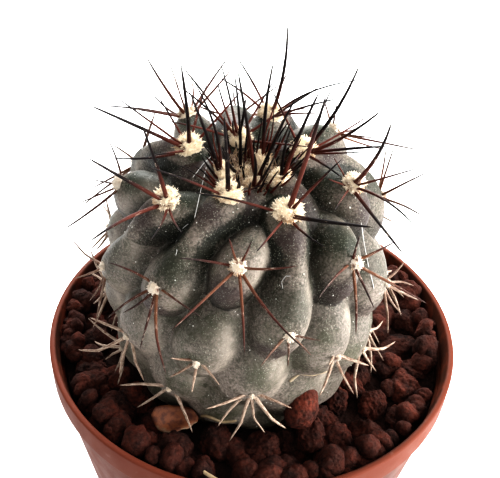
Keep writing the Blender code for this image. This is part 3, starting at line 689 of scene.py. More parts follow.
class Stem:
    """The plant's smooth hull, its areoles and the relief between them."""

    def __init__(self):
        self.outline = curve_through(STEM_OUTLINE) * MM
        steps = np.linalg.norm(np.diff(self.outline, axis=0), axis=1)
        self.arcs = np.concatenate(([0], np.cumsum(steps)))
        self.ground_arc = self.arcs[np.argmax(self.outline[:, 1] < 0)]
        self.to_world = Matrix.Translation(STEM_FOOT) @ Matrix.Rotation(STEM_LEAN, 4, "X")
        self.foot = np.array(self.to_world.translation)
        self.turn = np.array(self.to_world.to_3x3())
        numbers = np.arange(AREOLE_COUNT)
        self.areoles, self.normals = self.hull(self.areole_angle(numbers), self.areole_arc(numbers))
        self.down, self.across = self.areole_directions(numbers)

    def areole_angle(self, number):
        return FIRST_AREOLE_ANGLE + number * GOLDEN_ANGLE

    def areole_arc(self, number):
        numbers, arcs = np.array(AREOLE_ARCS).T
        return np.interp(number, numbers, arcs * MM)

    def age_at(self, arc):
        """The areole number, not always whole, that belongs to an arc."""
        numbers, arcs = np.array(AREOLE_ARCS).T
        return np.interp(arc, arcs * MM, numbers)

    def rib_angle(self, turns, arc):
        """Angle of a line along the ribs where it crosses an arc; ribs drift with age."""
        return FIRST_AREOLE_ANGLE + turns * TURN + RIB_DRIFT * self.age_at(arc) / RIBS

    def outline_at(self, arc):
        radius = np.interp(arc, self.arcs, self.outline[:, 0])
        height = np.interp(arc, self.arcs, self.outline[:, 1])
        return radius, height

    def hull(self, angle, arc):
        """Points and outward normals of the smooth hull, as arrays."""
        radius, height = self.outline_at(arc)
        radius_after, height_after = self.outline_at(np.minimum(arc + SLOPE_STEP, self.arcs[-1]))
        radius_before, height_before = self.outline_at(np.maximum(arc - SLOPE_STEP, 0))
        points = all_from_axis(angle, radius, height)
        normals = all_from_axis(angle, height_before - height_after, radius_after - radius_before)
        return points, normals / np.linalg.norm(normals, axis=-1, keepdims=True)

    def areole_directions(self, numbers):
        """Unit vectors at each areole: down its rib, and across it."""
        next_numbers = numbers + RIBS
        next_on_rib, _ = self.hull(self.areole_angle(next_numbers), self.areole_arc(next_numbers))
        down = next_on_rib - self.areoles
        down -= np.sum(down * self.normals, axis=1, keepdims=True) * self.normals
        down /= np.linalg.norm(down, axis=1, keepdims=True)
        return down, np.cross(down, self.normals)

    def relief(self, points, softness):
        """Depth of the skin below the hull, and each point's place on its tubercle.

        The place is (distance below the areole, distance across the rib, areole
        number, how near a crease from 0 to 1).
        """
        ages, curvatures = np.array(RIB_CURVATURE).T
        across_curve = np.interp(np.arange(AREOLE_COUNT), ages, curvatures) * MM
        centres = self.areoles + CHIN_DROP * self.down
        offset = points[:, None, :] - centres[None, :, :]
        along = np.einsum("pnk,nk->pn", offset, self.down)
        across = np.einsum("pnk,nk->pn", offset, self.across)
        along_curve = np.where(along > 0, CHIN_CURVATURE, SLOPE_CURVATURE)
        fall = across ** 2 / (2 * across_curve) + along ** 2 / (2 * along_curve)
        fall += FLANK_STEEPNESS * fall ** 2
        far = np.linalg.norm(offset, axis=2) > TUBERCLE_REACH
        fall = np.where(far, FAR_FALL, np.minimum(fall, FAR_FALL))
        by_rib = np.stack([self.fall_of_rib(points, fall, rib, softness) for rib in range(RIBS)], axis=1)
        lowest = np.partition(by_rib, 1, axis=1)[:, :2]
        soft = smooth_least(lowest[:, 0], lowest[:, 1], softness)
        depth = DEEPEST_GROOVE * np.tanh(np.maximum(soft, 0) / DEEPEST_GROOVE)
        own = np.argmin(fall, axis=1)
        row = np.arange(len(points))
        second = np.partition(fall, 1, axis=1)[:, 1]
        crease = np.exp(-(second - fall[row, own]) / CREASE_WIDTH)
        return depth, (along[row, own] + CHIN_DROP, across[row, own], own, crease)

    def fall_of_rib(self, points, fall, rib, softness):
        """Join the tubercles of one rib, and the necks between its youngest ones."""
        joined = fall[:, rib]
        for number in range(rib + RIBS, AREOLE_COUNT, RIBS):
            joined = smooth_least(joined, fall[:, number], softness)
        for number in UNBROKEN_RIBS:
            if number % RIBS == rib:
                joined = smooth_least(joined, self.fall_of_neck(points, number), NECK_SOFTNESS)
        return joined

    def fall_of_neck(self, points, number):
        """Depth round the line on which a rib runs on to its next areole."""
        share = np.linspace(0, 1, NECK_STEPS + 1)
        angle = self.areole_angle(number) + RIB_DRIFT * share
        line, _ = self.hull(angle, self.areole_arc(number + RIBS * share))
        best = np.full(len(points), FAR_FALL)
        for index, (start, end) in enumerate(zip(line, line[1:])):
            way = end - start
            part = np.clip((points - start) @ way / (way @ way), 0, 1)
            distance = np.linalg.norm(points - start - part[:, None] * way, axis=1)
            along = (index + part) / NECK_STEPS
            fall = distance ** 2 / (2 * NECK_CURVATURE) + 4 * NECK_DEPTH * along * (1 - along)
            best = np.minimum(best, fall + FLANK_STEEPNESS * fall ** 2)
        return best

    def skin(self, angle, arc, softness=CREASE_SOFTNESS):
        """Points of the skin, their hull normals and depths, and their place as in relief."""
        points, normals = self.hull(angle, arc)
        buried = np.clip(-points[:, 2] / SMOOTH_BELOW_GROUND, 0, 1)
        depth, place = self.relief(points, softness)
        depth = depth * (1 - buried)
        return points - normals * depth[:, None], normals, depth, *place

    def areole_frame(self, number):
        """World matrix at an areole: X across, Y towards the crown, Z outward."""
        outward = Vector(self.normals[number])
        crownward = Vector(-self.down[number])
        across = crownward.cross(outward)
        turn = Matrix((across, crownward, outward)).transposed().to_4x4()
        skin = self.skin(self.areole_angle(np.array([number])), self.areole_arc(np.array([number])))[0]
        return self.to_world @ Matrix.Translation(Vector(skin[0])) @ turn

    def world(self, points):
        """Plant coordinates, as an array of points, in the part's frame."""
        return np.asarray(points) @ self.turn.T + self.foot

    def local(self, points):
        """Points of the part's frame, in plant coordinates."""
        return (points - self.foot) @ self.turn

    def distance(self, place):
        """How far a low point lies outside the hull, measured square to the axis."""
        local = self.to_world.inverted() @ place
        below_widest = self.outline[np.argmax(self.outline[:, 0]):]
        radius = np.interp(-local.z, -below_widest[:, 1], below_widest[:, 0])
        return math.hypot(local.x, local.y) - radius


STEM = Stem()


def meets_leaning_stone(start, end):
    """Whether the stone against the stem stands in the way of a line."""
    room = LEANING_STONE_RADIUS + 2 * GAP
    line = [start.lerp(end, share) for share in np.linspace(0, 1, CLEARANCE_SAMPLES)]
    return any((place - LEANING_STONE).length < room for place in line)


def shown_areoles():
    """The areoles that stand clear of the gravel, with their world frames."""
    shown = []
    for number in range(1, AREOLE_COUNT):
        areole = STEM.areole_frame(number)
        place = areole.translation
        if place.z > STONE_TOP + LOWEST_AREOLE and not meets_leaning_stone(place, place):
            shown.append((number, areole))
    return shown


def uneven(points, size, height, octaves=3, seed=0):
    """Smooth random heights at points; size is that of one feature."""
    shift = Vector((seed * 3.7, seed * 1.9, seed * 5.3))
    return np.array([height * noise.fractal(Vector(p) / size + shift, 1.0, 2.0, octaves) for p in points])


def grid_faces(rows, columns):
    """Quads of a grid closed round its columns, between rows of points."""
    row = np.arange(rows - 1)[:, None] * columns
    column = np.arange(columns)[None, :]
    after = (column + 1) % columns
    quads = np.stack((row + column, row + columns + column, row + columns + after, row + after), axis=-1)
    return quads.reshape(-1, 4).tolist()


def capped_grid(name, points, rows, columns, ends, material):
    """A closed skin of grid rows, with one point at each end."""
    every = np.vstack((points, ends))
    top_index = rows * columns
    faces = grid_faces(rows, columns)
    for column in range(columns):
        after = (column + 1) % columns
        faces.append((top_index, column, after))
        faces.append((top_index + 1, (rows - 1) * columns + after, (rows - 1) * columns + column))
    return mesh_object(name, every, faces, material)


def tubes(name, lines, radii, sides, material):
    """Closed tapering tubes: lines is (tube, ring, xyz), and the last ring is a point."""
    count, rings = lines.shape[:2]
    ahead = np.gradient(lines, axis=1)
    ahead /= np.linalg.norm(ahead, axis=2, keepdims=True)
    least = np.argmin(np.abs(ahead.mean(axis=1)), axis=1)
    helper = np.eye(3)[least][:, None, :]
    side = np.cross(ahead, helper)
    side /= np.linalg.norm(side, axis=2, keepdims=True)
    other = np.cross(ahead, side)
    angle = np.arange(sides) * TURN / sides
    cosine, sine = np.cos(angle)[:, None], np.sin(angle)[:, None]
    circle = cosine * side[:, :-1, None, :] + sine * other[:, :-1, None, :]
    walls = lines[:, :-1, None, :] + radii[:, :-1, None, None] * circle
    tube_size = (rings - 1) * sides + 1
    points = np.concatenate((walls.reshape(count, -1, 3), lines[:, -1:, :]), axis=1)
    start = np.arange(count)[:, None] * tube_size
    last = (rings - 2) * sides
    column = np.arange(sides)
    after = (column + 1) % sides
    quads = []
    for ring in range(rings - 2):
        low, high = ring * sides, (ring + 1) * sides
        quads.append(np.stack((low + column, low + after, high + after, high + column), axis=-1))
    quads = (np.concatenate(quads).reshape(1, -1, 4) + start[:, :, None]).reshape(-1, 4)
    tips = np.stack((last + column, last + after, np.full(sides, tube_size - 1)), axis=-1)
    tips = (tips[None] + start[:, :, None]).reshape(-1, 3)
    roots = column[None, ::-1] + start
    faces = quads.tolist() + tips.tolist() + roots.tolist()
    obj = mesh_object(name, points.reshape(-1, 3), faces, material)
    share = np.linspace(0, 1, rings)
    along = np.append(np.repeat(share[:-1], sides), 1.0)
    around = np.append(np.tile(np.cos(angle), rings - 1), 0.0)
    add_values(obj, along=np.tile(along, count), around=np.tile(around, count))
    return obj


def per_tube(values, rings, sides):
    """Repeat one value a tube for each of its vertices."""
    return np.repeat(values, (rings - 1) * sides + 1)


def rounded(corners):
    """An outline whose corners, (x, z, radius), are arcs."""
    outline = []
    for index, (x, z, radius) in enumerate(corners):
        here = np.array((x, z))
        if not radius or index in (0, len(corners) - 1):
            outline.append(here)
            continue
        before = np.array(corners[index - 1][:2]) - here
        after = np.array(corners[index + 1][:2]) - here
        start = here + before / np.linalg.norm(before) * radius
        end = here + after / np.linalg.norm(after) * radius
        for share in np.linspace(0, 1, CORNER_STEPS):
            outline.append((1 - share) ** 2 * start + 2 * share * (1 - share) * here + share ** 2 * end)
    return outline


def pot_corners():
    """The pot's section, up inside, over the lip and down outside."""
    collar_foot = POT_HEIGHT - COLLAR_HEIGHT
    inner = RIM_RADIUS - LIP_WIDTH
    wall_foot = BASE_RADIUS + WALL_SLOPE * FLOOR
    wall_top = RIM_RADIUS - COLLAR_STEP
    return (
        (0, FLOOR, 0),
        (wall_foot - WALL, FLOOR, BASE_ROUND),
        (wall_top - WALL, collar_foot, CORNER_EASE),
        (inner, collar_foot + COLLAR_STEP, CORNER_EASE),
        (inner, POT_HEIGHT - LIP_SLOPE, CORNER_EASE),
        (RIM_RADIUS - LIP_EDGE, POT_HEIGHT, LIP_EASE),
        (RIM_RADIUS, POT_HEIGHT, LIP_EASE),
        (RIM_RADIUS, collar_foot + COLLAR_STEP / 2, CORNER_EASE),
        (wall_top, collar_foot, CORNER_EASE / 2),
        (BASE_RADIUS, 0, BASE_ROUND),
        (0, 0, 0),
    )


def plastic_material(settings):
    """Mottled terracotta, with pale scuffs and dark patches inside the rim, partly a film of wet earth and
    partly painted shade on the inner wall.
    """
    scuff = (0.30, 0.17, 0.135)
    shader = Shader("terracotta_plastic")
    mottle = shader.patches(90, 5, 0.5, 0.3, 0.7)
    soil_and_shade_patches = shader.patches(260, 6, 0.65, 0.36, 0.52)
    shade = shader.layered(
        shader.mix(mottle, settings.plastic, darker(settings.plastic, 0.86)),
        (shader.patches(700, 6, 0.6, 0.62, 0.75), 0.25, scuff),
        # Dark patches on the inner wall, partly a film of wet earth and partly painted shade
        (soil_and_shade_patches, shader.value("inside"), settings.soil_and_shade),
    )
    grain = shader.bump(shader.noise(5200, 3), 0.03 * MM, 0.5)
    roughness = shader.patches(400, 4, 0.5, 0.3, 0.7, 0.45, 0.6)
    return shader.finish(Base_Color=shade, Roughness=roughness, Normal=grain, Specular_IOR_Level=0.06)


def drain_cutter():
    bm = bmesh.new()
    for index in range(DRAIN_COUNT):
        turn = Matrix.Rotation(TURN * (index + 0.5) / DRAIN_COUNT, 4, "Z")
        place = turn @ Matrix.Translation((DRAIN_CIRCLE, 0, FLOOR / 2))
        bmesh.ops.create_cone(bm, cap_ends=True, segments=DRAIN_SIDES, radius1=DRAIN_RADIUS,
                              radius2=DRAIN_RADIUS, depth=3 * FLOOR, matrix=place)
    return object_from_bmesh("drain_cutter", bm)


def cut_away(obj, cutter):
    """Subtract the cutter from obj, and remove it."""
    cut = obj.modifiers.new("cut", "BOOLEAN")
    cut.operation = "DIFFERENCE"
    cut.object = cutter
    evaluated = obj.evaluated_get(bpy.context.evaluated_depsgraph_get())
    obj.data = bpy.data.meshes.new_from_object(evaluated)
    obj.modifiers.clear()
    bpy.data.objects.remove(cutter, do_unlink=True)


def pot_object(settings):
    """The pot turned from its outline, with a rim that is not quite round."""
    outline = np.array(rounded(pot_corners()))[1:-1]
    angle, radius, height = around_axis(outline, settings.sides)
    stray = sum(share * np.sin(waves * angle + phase) for share, waves, phase in RIM_WAVES)
    radius += settings.waviness * stray * (height / POT_HEIGHT) ** 2 - settings.waviness * (height > FLOOR)
    points = all_from_axis(angle, radius, height)
    material = plastic_material(settings)
    ends = ((0, 0, FLOOR), (0, 0, 0))
    pot = capped_grid("nursery_pot", points, len(outline), settings.sides, ends, material)
    pot.data.flip_normals()
    cut_away(pot, drain_cutter())
    pot.data.materials.clear()
    pot.data.materials.append(material)
    pot.data.shade_smooth()
    pot.data.set_sharp_from_angle(angle=SHARP_ANGLE)
    reach = np.array([math.hypot(v.co.x, v.co.y) for v in pot.data.vertices])
    level = np.array([v.co.z for v in pot.data.vertices])
    inward = np.clip((RIM_RADIUS - 0.8 * LIP_EDGE - reach) / (0.4 * LIP_EDGE), 0, 1)
    # inside marks the inner wall, where the dark patches stand partly for shade
    add_values(pot, inside=inward * (level > 2 * FLOOR))
    return pot


class COPIAPOA_OT_make_pot(Operator):
    """Turn the nursery pot with its lip, collar and drain holes"""
    bl_idname = "copiapoa.make_pot"
    bl_label = "Make Pot"

    def execute(self, context):
        pot = pot_object(context.scene.copiapoa.pot)
        set_in_place(pot, "pot", "pot")
        return {"FINISHED"}


def stone_places(draw):
    """Stones thrown at random, each kept where it has room, as in the solids."""
    places = [(LEANING_STONE, LEANING_STONE_RADIUS), (BED_STONE, BED_STONE_RADIUS)]
    places += [(Vector((x, y, z)) * MM, radius * MM) for x, y, z, radius in FRONT_STONES]
    low, high = STONE_RADII
    for _ in range(STONE_TRIES):
        radius = draw.triangular(low, high, COMMON_STONE_RADIUS)
        reach = RIM_RADIUS - LIP_WIDTH - 2 * GAP - radius
        angle = draw.uniform(0, TURN)
        distance = reach * math.sqrt(draw.random())
        height = STONE_TOP - radius - draw.uniform(0, STONE_DIP)
        place = from_axis(angle, distance, height)
        beside_stem = STEM.distance(place) > radius / 2
        has_room = all((place - other).length > STONE_SPACING * (radius + size) for other, size in places)
        if beside_stem and has_room:
            places.append((place, radius))
    return places


def crumb_places(count, draw):
    """Smaller stones in the gaps of the bed, more than half of them beside the wall."""
    places = []
    while len(places) < count:
        radius = draw.triangular(*CRUMB_RADII) * MM
        reach = RIM_RADIUS - LIP_WIDTH - GAP - radius
        angle = draw.uniform(0, TURN)
        if draw.random() < WALL_CRUMB_SHARE:
            distance = reach - draw.uniform(*WALL_CRUMB_STRAY) * MM
            heights = WALL_CRUMB_HEIGHTS
        else:
            distance = reach * math.sqrt(draw.random())
            heights = CRUMB_HEIGHTS
        place = from_axis(angle, distance, draw.uniform(*heights) * MM)
        if STEM.distance(place) > radius * 0.8:
            places.append((place, radius))
    return places


def lava_stone(place, radius, detail, pore_depth, draw):
    """Points and faces of one porous stone, with its pores' depths."""
    bm = bmesh.new()
    bmesh.ops.create_icosphere(bm, subdivisions=detail, radius=1)
    stretch = Vector([draw.uniform(*span) for span in (STONE_WIDTHS, STONE_WIDTHS, STONE_THICKNESSES)])
    turn = Matrix.Rotation(draw.uniform(0, TURN), 3, (draw.gauss(0, 1), draw.gauss(0, 1), 1))
    seed = Vector([draw.uniform(-50, 50) for _ in range(3)])
    broken_faces = [
        (Vector([draw.gauss(0, 1) for _ in range(3)]).normalized(), draw.uniform(*BROKEN_FACE_DISTANCES))
        for _ in range(BROKEN_FACES)
    ]
    points, pits = [], []
    for vert in bm.verts:
        outward = vert.co.normalized()
        near_faces = sum((max(0.0, outward.dot(way)) / flat) ** STONE_EDGE for way, flat in broken_faces)
        lumps = STONE_SWELL * (near_faces + STONE_ROUND ** -STONE_EDGE) ** (-1 / STONE_EDGE) - 1
        for height, pitch, side in STONE_LUMPS:
            lumps += height * noise.noise(outward * pitch + side * seed)
        place_in_stone = (outward * radius + seed * MM) / PORE_SPACING
        pore = max(0.0, 1 - noise.voronoi(place_in_stone)[0][0] / PORE_EDGE)
        grain = sum(height * noise.noise(place_in_stone * pitch) for height, pitch in STONE_GRAIN)
        deep = pore_depth * pore * min(1.0, radius / SMALL_STONE)
        reach = radius * (1 + lumps) - deep + grain
        points.append(place + turn @ (outward * stretch) * reach)
        pits.append(pore)
    faces = [[v.index for v in face.verts] for face in bm.faces]
    bm.free()
    return points, faces, pits


def lava_material(settings):
    """Worn and fresh lava in patches, gritty with dust, painted dark in its pores and on the bed between
    the stones as shade.
    """
    pore_shade = (0.018, 0.008, 0.006)
    dull, warm = (0.55, 0.55, 0.55), (1.75, 1.50, 1.40)
    shader = Shader("lava")
    shade = shader.mix(shader.patches(420, 5, 0.6, 0.35, 0.65), settings.worn, settings.fresh)
    tint = shader.mix(shader.ramp(shader.value("tone"), 0.0, 1.6), dull, warm)
    shade = shader.mix(1.0, shade, tint, "MULTIPLY")
    fine_pore_shade = shader.times(shader.dots(2300, 0.10, 0.34), 0.55)
    shade = shader.layered(
        shade,
        (shader.patches(2600, 6, 0.75, 0.50, 0.66), 0.7, settings.dust),
        # Painted shade in the pores, and on the bed seen between the stones
        (shader.math("MAXIMUM", fine_pore_shade, shader.value("pit")), 1, pore_shade),
    )
    rough = shader.bump(shader.noise(2200, 8, 0.75), 0.30 * MM, 1.0)
    rough = shader.bump(shader.cells(1900), 0.20 * MM, 0.9, rough)
    return shader.finish(Base_Color=shade, Roughness=0.95, Specular_IOR_Level=0.2, Normal=rough)


def rounder(points, centre, radius):
    """The leaning stone's points, drawn towards an upright egg shape."""
    shaped = []
    for point in points:
        offset = point - centre
        reach = LEANING_ROUNDNESS * radius + (1 - LEANING_ROUNDNESS) * offset.length
        shaped.append(centre + LEANING_LIFT + offset.normalized() * reach * LEANING_STRETCH)
    return shaped


def stone_group(name, places, detail, settings, material):
    """Many stones in one piece, each with its own shape and tone."""
    draw = random.Random(SEEDS[name])
    points, faces, pits, tones = [], [], [], []
    for place, radius in places:
        stone_points, stone_faces, stone_pits = lava_stone(place, radius, detail, settings.pore_depth, draw)
        leaning = place == LEANING_STONE
        if leaning:
            stone_points = rounder(stone_points, place, radius)
        start = len(points)
        faces += [[start + corner for corner in face] for face in stone_faces]
        points += [tuple(p) for p in stone_points]
        pits += stone_pits
        tones += [LEANING_TONE if leaning else draw.random()] * len(stone_points)
    stones = mesh_object(name, points, faces, material)
    # pit marks the pores, which the material paints with shade
    add_values(stones, pit=pits, tone=tones)
    return stones


def gravel_bed(material):
    """The filling below the stones, painted as dark as the pores' shade, hollow only where the stem stands.
    """
    foot, clear = FLOOR + GAP, WALL + GAP
    heights = np.linspace(foot, FILL_LEVEL, BED_SIDE_ROWS)
    side = [(BASE_RADIUS + WALL_SLOPE * height - clear, height) for height in heights]
    top = [(reach, FILL_LEVEL) for reach in np.linspace(side[-1][0], BED_CENTRE, BED_TOP_ROWS)[1:]]
    outline = np.array([(BED_CENTRE, foot), *side, *top])
    angle, reach, height = around_axis(outline, BED_COLUMNS)
    points = all_from_axis(angle, reach, height)
    on_top = height > FILL_LEVEL - 0.01 * MM
    points[on_top, 2] += uneven(points[on_top], *BED_LUMPS)
    local = STEM.local(points)
    hull_radius = np.interp(-local[:, 2], -STEM.outline[:, 1], STEM.outline[:, 0])
    under = on_top & (np.hypot(local[:, 0], local[:, 1]) < hull_radius)
    points[under, 2] -= BED_DIP
    ends = ((0, 0, foot), (0, 0, FILL_LEVEL))
    bed = capped_grid("gravel_bed", points, len(outline), BED_COLUMNS, ends, material)
    bed.data.flip_normals()
    # pit 0.8 lays the pores' painted shade over the bed, as the shade in the gaps between the stones
    add_values(bed, pit=0.8, tone=0.2)
    return bed


class COPIAPOA_OT_make_gravel(Operator):
    """Lay the porous lava stones, the crumbs between them and their bed"""
    bl_idname = "copiapoa.make_gravel"
    bl_label = "Make Gravel"

    def execute(self, context):
        settings = context.scene.copiapoa.gravel
        material = lava_material(settings)
        stones = stone_places(random.Random(STONE_SEED))
        groups = {
            "lava_stones_front": (5, [stone for stone in stones if stone[0].y < FRONT_EDGE]),
            "lava_stones_back": (4, [stone for stone in stones if stone[0].y >= FRONT_EDGE]),
            "lava_crumbs": (3, crumb_places(settings.crumbs, random.Random(SEEDS["crumb_places"]))),
        }
        set_in_place(gravel_bed(material), "gravel", "gravel")
        for name, (detail, places) in groups.items():
            set_in_place(stone_group(name, places, detail, settings, material), "gravel")
        return {"FINISHED"}


def skin_material(settings):
    """Bloom on the raised skin, dark flesh above an areole, purple below it darkened as painted shade,
    painted shade in the grooves and creases, and a pale edge with a painted highlight on one flank.
    """
    blotch, lichen = (0.055, 0.057, 0.034), (0.057, 0.059, 0.035)
    # Pale bloom with a painted highlight for the tubercles' edges, and near-black painted shade for the
    # young ribs' deep flanks
    pale_bloom_and_highlight, flank_shade_colour = (0.36, 0.31, 0.26), (0.008, 0.010, 0.006)
    shader = Shader("copiapoa_skin")
    drift = shader.noise(330, 5, 0.6)
    fine = shader.noise(3600, 4, 0.65)
    wander = shader.plus(*(shader.times(shader.minus(field, 0.5), 0.9) for field in (drift, fine)))
    face, chin_tint_and_shade, deep, flank_shade = [
        shader.ramp(shader.plus(shader.value(name), wander), *ends)
        for name, *ends in (("face", 0.25, 0.80), ("chin_tint_and_shade", 0.20, 0.80), ("depth", 0.9, 2.4),
                            ("flank_shade", 0.15, 0.75))
    ]
    young = shader.value("young")
    # The last of these is painted shade in the deep grooves, strongest on the young ribs
    blotched, green, painted_groove_shade = [
        shader.times(mask, shader.ramp(young, 0.0, 1.0, *ends))
        for mask, *ends in ((shader.patches(230, 4, 0.6, 0.47, 0.60), 0.72, 0.25),
                            (face, 0.35, 0.97), (deep, 0.35, 0.7))
    ]
    # Pale edge: pale bloom with a painted highlight on one flank
    rim = shader.times(shader.value("rim"), shader.ramp(drift, 0.35, 0.6))
    cork = shader.times(shader.value("cork"), shader.patches(800, 5, 0.5, 0.42, 0.6))
    mealy_places = shader.patches(700, 4, 0.6, 0.38, 0.62, 0.12, 0.75)
    meal = shader.times(shader.dots(4600, 0.14, 0.30), mealy_places)
    dotted = shader.times(shader.dots(3300, 0.12, 0.19), shader.patches(520, 6, 0.7, 0.48, 0.60))
    shade = shader.layered(
        shader.mix(young, settings.old_bloom, settings.bloom),
        (shader.ramp(fine, 0.38, 0.62, 0.0, 0.5), 1, settings.groove),
        (blotched, 1, blotch),
        (shader.patches(900, 6, 0.7, 0.48, 0.64), 0.38, lichen),
        (green, 1, settings.flesh),
        # Pale bloom on the tubercles' edges, with a painted highlight on the flank facing the key light
        (rim, 0.75, pale_bloom_and_highlight),
        # Purple tint below each areole, darkened as painted shade on the tubercle's underside
        (chin_tint_and_shade, 0.85, settings.chin_tint_and_shade),
        # Painted shade, near black, deep in the grooves beside the young ribs
        (flank_shade, 0.9, flank_shade_colour),
        # Painted shade: the groove colour laid in the deep grooves of the young ribs and in the creases
        # between tubercles
        (painted_groove_shade, 1, settings.groove),
        (shader.ramp(shader.value("crease"), 0.35, 0.95), 0.65, settings.groove),
        (cork, 1, settings.cork),
        (meal, 0.6, settings.grain),
        (dotted, 0.7, settings.grain),
    )
    normal = shader.bump(fine, 0.10 * MM, 0.7)
    normal = shader.bump(meal, 0.04 * MM, 0.6, normal)
    roughness = shader.ramp(fine, 0.3, 0.7, 0.42, 0.62)
    return shader.finish(Base_Color=shade, Roughness=roughness, Normal=normal, Specular_IOR_Level=0.2)


def skin_values(height, depth, age, below_areole, across, number, crease):
    """What the skin's material reads at each point, by name; ages are areole numbers."""
    ages, widths = np.array(RIB_CURVATURE).T
    width = np.interp(number, ages, widths) * MM
    unbroken = np.isin(number % RIBS, [rib % RIBS for rib in UNBROKEN_RIBS])
    face = np.exp(-(across / (1.5 * width)) ** 2 - ((below_areole + FACE_ABOVE) / FACE_HEIGHT) ** 2)
    face *= np.where(number == PALE_TUBERCLE, 0.5, 1)
    rim = np.exp(-((depth - EDGE_DEPTH) / EDGE_WIDTH) ** 2) * (below_areole < EDGE_BELOW)
    # Keeps the edge mostly on one flank, as a painted highlight from the key light
    rim *= np.clip(0.5 - across / (2 * MM), 0.1, 1)
    # Purple tint under each areole, which also stands for the shade under the tubercle
    chin_tint_and_shade = past(below_areole, *CHIN_START) * np.exp(-(across / (1.3 * width)) ** 2)
    chin_tint_and_shade *= past(number, *CHIN_AGES)
    chin_tint_and_shade *= np.where(unbroken, past(below_areole, *CHIN_END), 1)
    # Painted shade deep in the grooves beside the young ribs, half as strong on broken ribs
    flank_shade = np.where(unbroken, past(age, *FLANK_SHADE_AGES), 0.5 * past(age, *FLANK_SHADE_AGES_OF_BROKEN_RIBS))
    flank_shade *= past(depth, *FLANK_SHADE_DEPTH)
    return {
        "face": face, "rim": rim, "chin_tint_and_shade": chin_tint_and_shade, "flank_shade": flank_shade, "depth": depth / MM,
        # Painted shade in the creases between tubercles
        "crease": crease * (past(depth, *CREASE_SHADE_DEPTH) * past(age, *CREASE_SHADE_AGES)),
        "cork": past(height, *CORK_HEIGHT), "young": past(number, *YOUNG_AGES),
    }


def stem_object(settings):
    """The ribbed skin, with columns along the ribs and rows down to the taproot."""
    columns = RIBS * settings.columns_per_rib
    last_row = STEM.ground_arc + SKIN_PAST_GROUND
    above = np.linspace(CROWN_HOLE, last_row, settings.rows)
    below = np.linspace(last_row, STEM.arcs[-1] - ROOT_HOLE, settings.rows // 12)[1:]
    arcs = np.concatenate((above, below))
    arc = np.repeat(arcs, columns)
    turns = np.tile(np.arange(columns) / columns, len(arcs))
    age = STEM.age_at(arc)
    softness = settings.softness + OLD_SOFTNESS * past(age, *SOFTER_AGES)
    batches = zip(*(np.array_split(values, SKIN_BATCHES) for values in (turns, arc, softness)))
    parts = [STEM.skin(STEM.rib_angle(turn, part_arc), part_arc, soft) for turn, part_arc, soft in batches]
    points, normals, depth, *place = (np.concatenate(values) for values in zip(*parts))
    coarse = uneven(points, COARSE_WRINKLE, settings.wrinkle)
    fine = uneven(points, FINE_WRINKLE, 0.4 * settings.wrinkle, octaves=2, seed=4)
    points = points + normals * (coarse + fine)[:, None]
    ends = [STEM.world([(0, 0, height)])[0] for height in STEM.outline[(0, -1), 1]]
    material = skin_material(settings)
    stem = capped_grid("ribbed_stem", STEM.world(points), len(arcs), columns, ends, material)
    values = skin_values(points[:, 2], depth, age, *place)
    add_values(stem, **{name: np.append(value, (0, 0)) for name, value in values.items()})
    return stem


class COPIAPOA_OT_make_stem(Operator):
    """Grow the ribbed stem with its tubercles and mottled skin"""
    bl_idname = "copiapoa.make_stem"
    bl_label = "Make Stem"

    def execute(self, context):
        stem = stem_object(context.scene.copiapoa.skin)
        set_in_place(stem, "cactus", "cactus")
        return {"FINISHED"}


def wool_material(settings):
    """Cream wool that greys with age, with painted shade: brown where it stands low on a pad or in the
    crown mat, and dark brown beside a spine.
    """
    weathered, root_brown = (0.40, 0.32, 0.24), (0.62, 0.40, 0.20)
    # The first two colours are painted shade: on the pads' lower sides and in the pits round the spines
    underside_shade, pit_shade, streak = (0.50, 0.29, 0.13), (0.13, 0.05, 0.028), (0.60, 0.43, 0.26)
    shader = Shader("areole_wool")
    age = shader.value("age")
    shade = shader.layered(
        shader.mix(shader.ramp(age, 0.2, 0.36), settings.young, settings.old),
        (shader.ramp(age, 0.48, 0.7, 0.0, 0.7), 1, weathered),
        (shader.ramp(shader.value("along"), 0.0, 0.5, 0.35, 0.0), 1, root_brown),
        # Painted shade on the lower side of each pad and over the crown mat
        (shader.ramp(shader.value("low"), 0.1, 0.7, 0.0, 0.75), 1, underside_shade),
        # Painted shade in the dents round the spines and over the crown mat
        (shader.value("pit"), 0.9, pit_shade),
        (shader.patches(1800, 3, 0.5, 0.4, 0.65), 0.25, streak),
    )
    return shader.finish(Base_Color=shade, Roughness=0.9, Specular_IOR_Level=0.25, Sheen_Weight=0.5,
                         Sheen_Roughness=0.6)


def pad_radius(number):
    """Radius of an areole's wool pad."""
    numbers, sizes = np.array(WOOL_RADII).T
    return float(np.interp(number, numbers, sizes)) * MM


def spine_ways():
    """For each areole, the directions in its own frame in which its spines leave it."""
    ways = {}
    for _, tip, _, number in leading_spine_list() + spreading_spine_list():
        way = (STEM.areole_frame(number).inverted() @ tip).normalized()
        ways.setdefault(number, []).append(way)
    return {number: np.array(found) for number, found in ways.items()}


def hollow(outward, ways, radius):
    """How near each direction from a pad's middle is to a spine, from 0 to 1."""
    if ways is None:
        return np.zeros(len(outward))
    nearest = np.clip((outward @ ways.T).max(axis=1), -1, 1)
    return np.clip(PIT_EDGE - np.arccos(nearest) * radius / PIT_RADIUS, 0, 1)


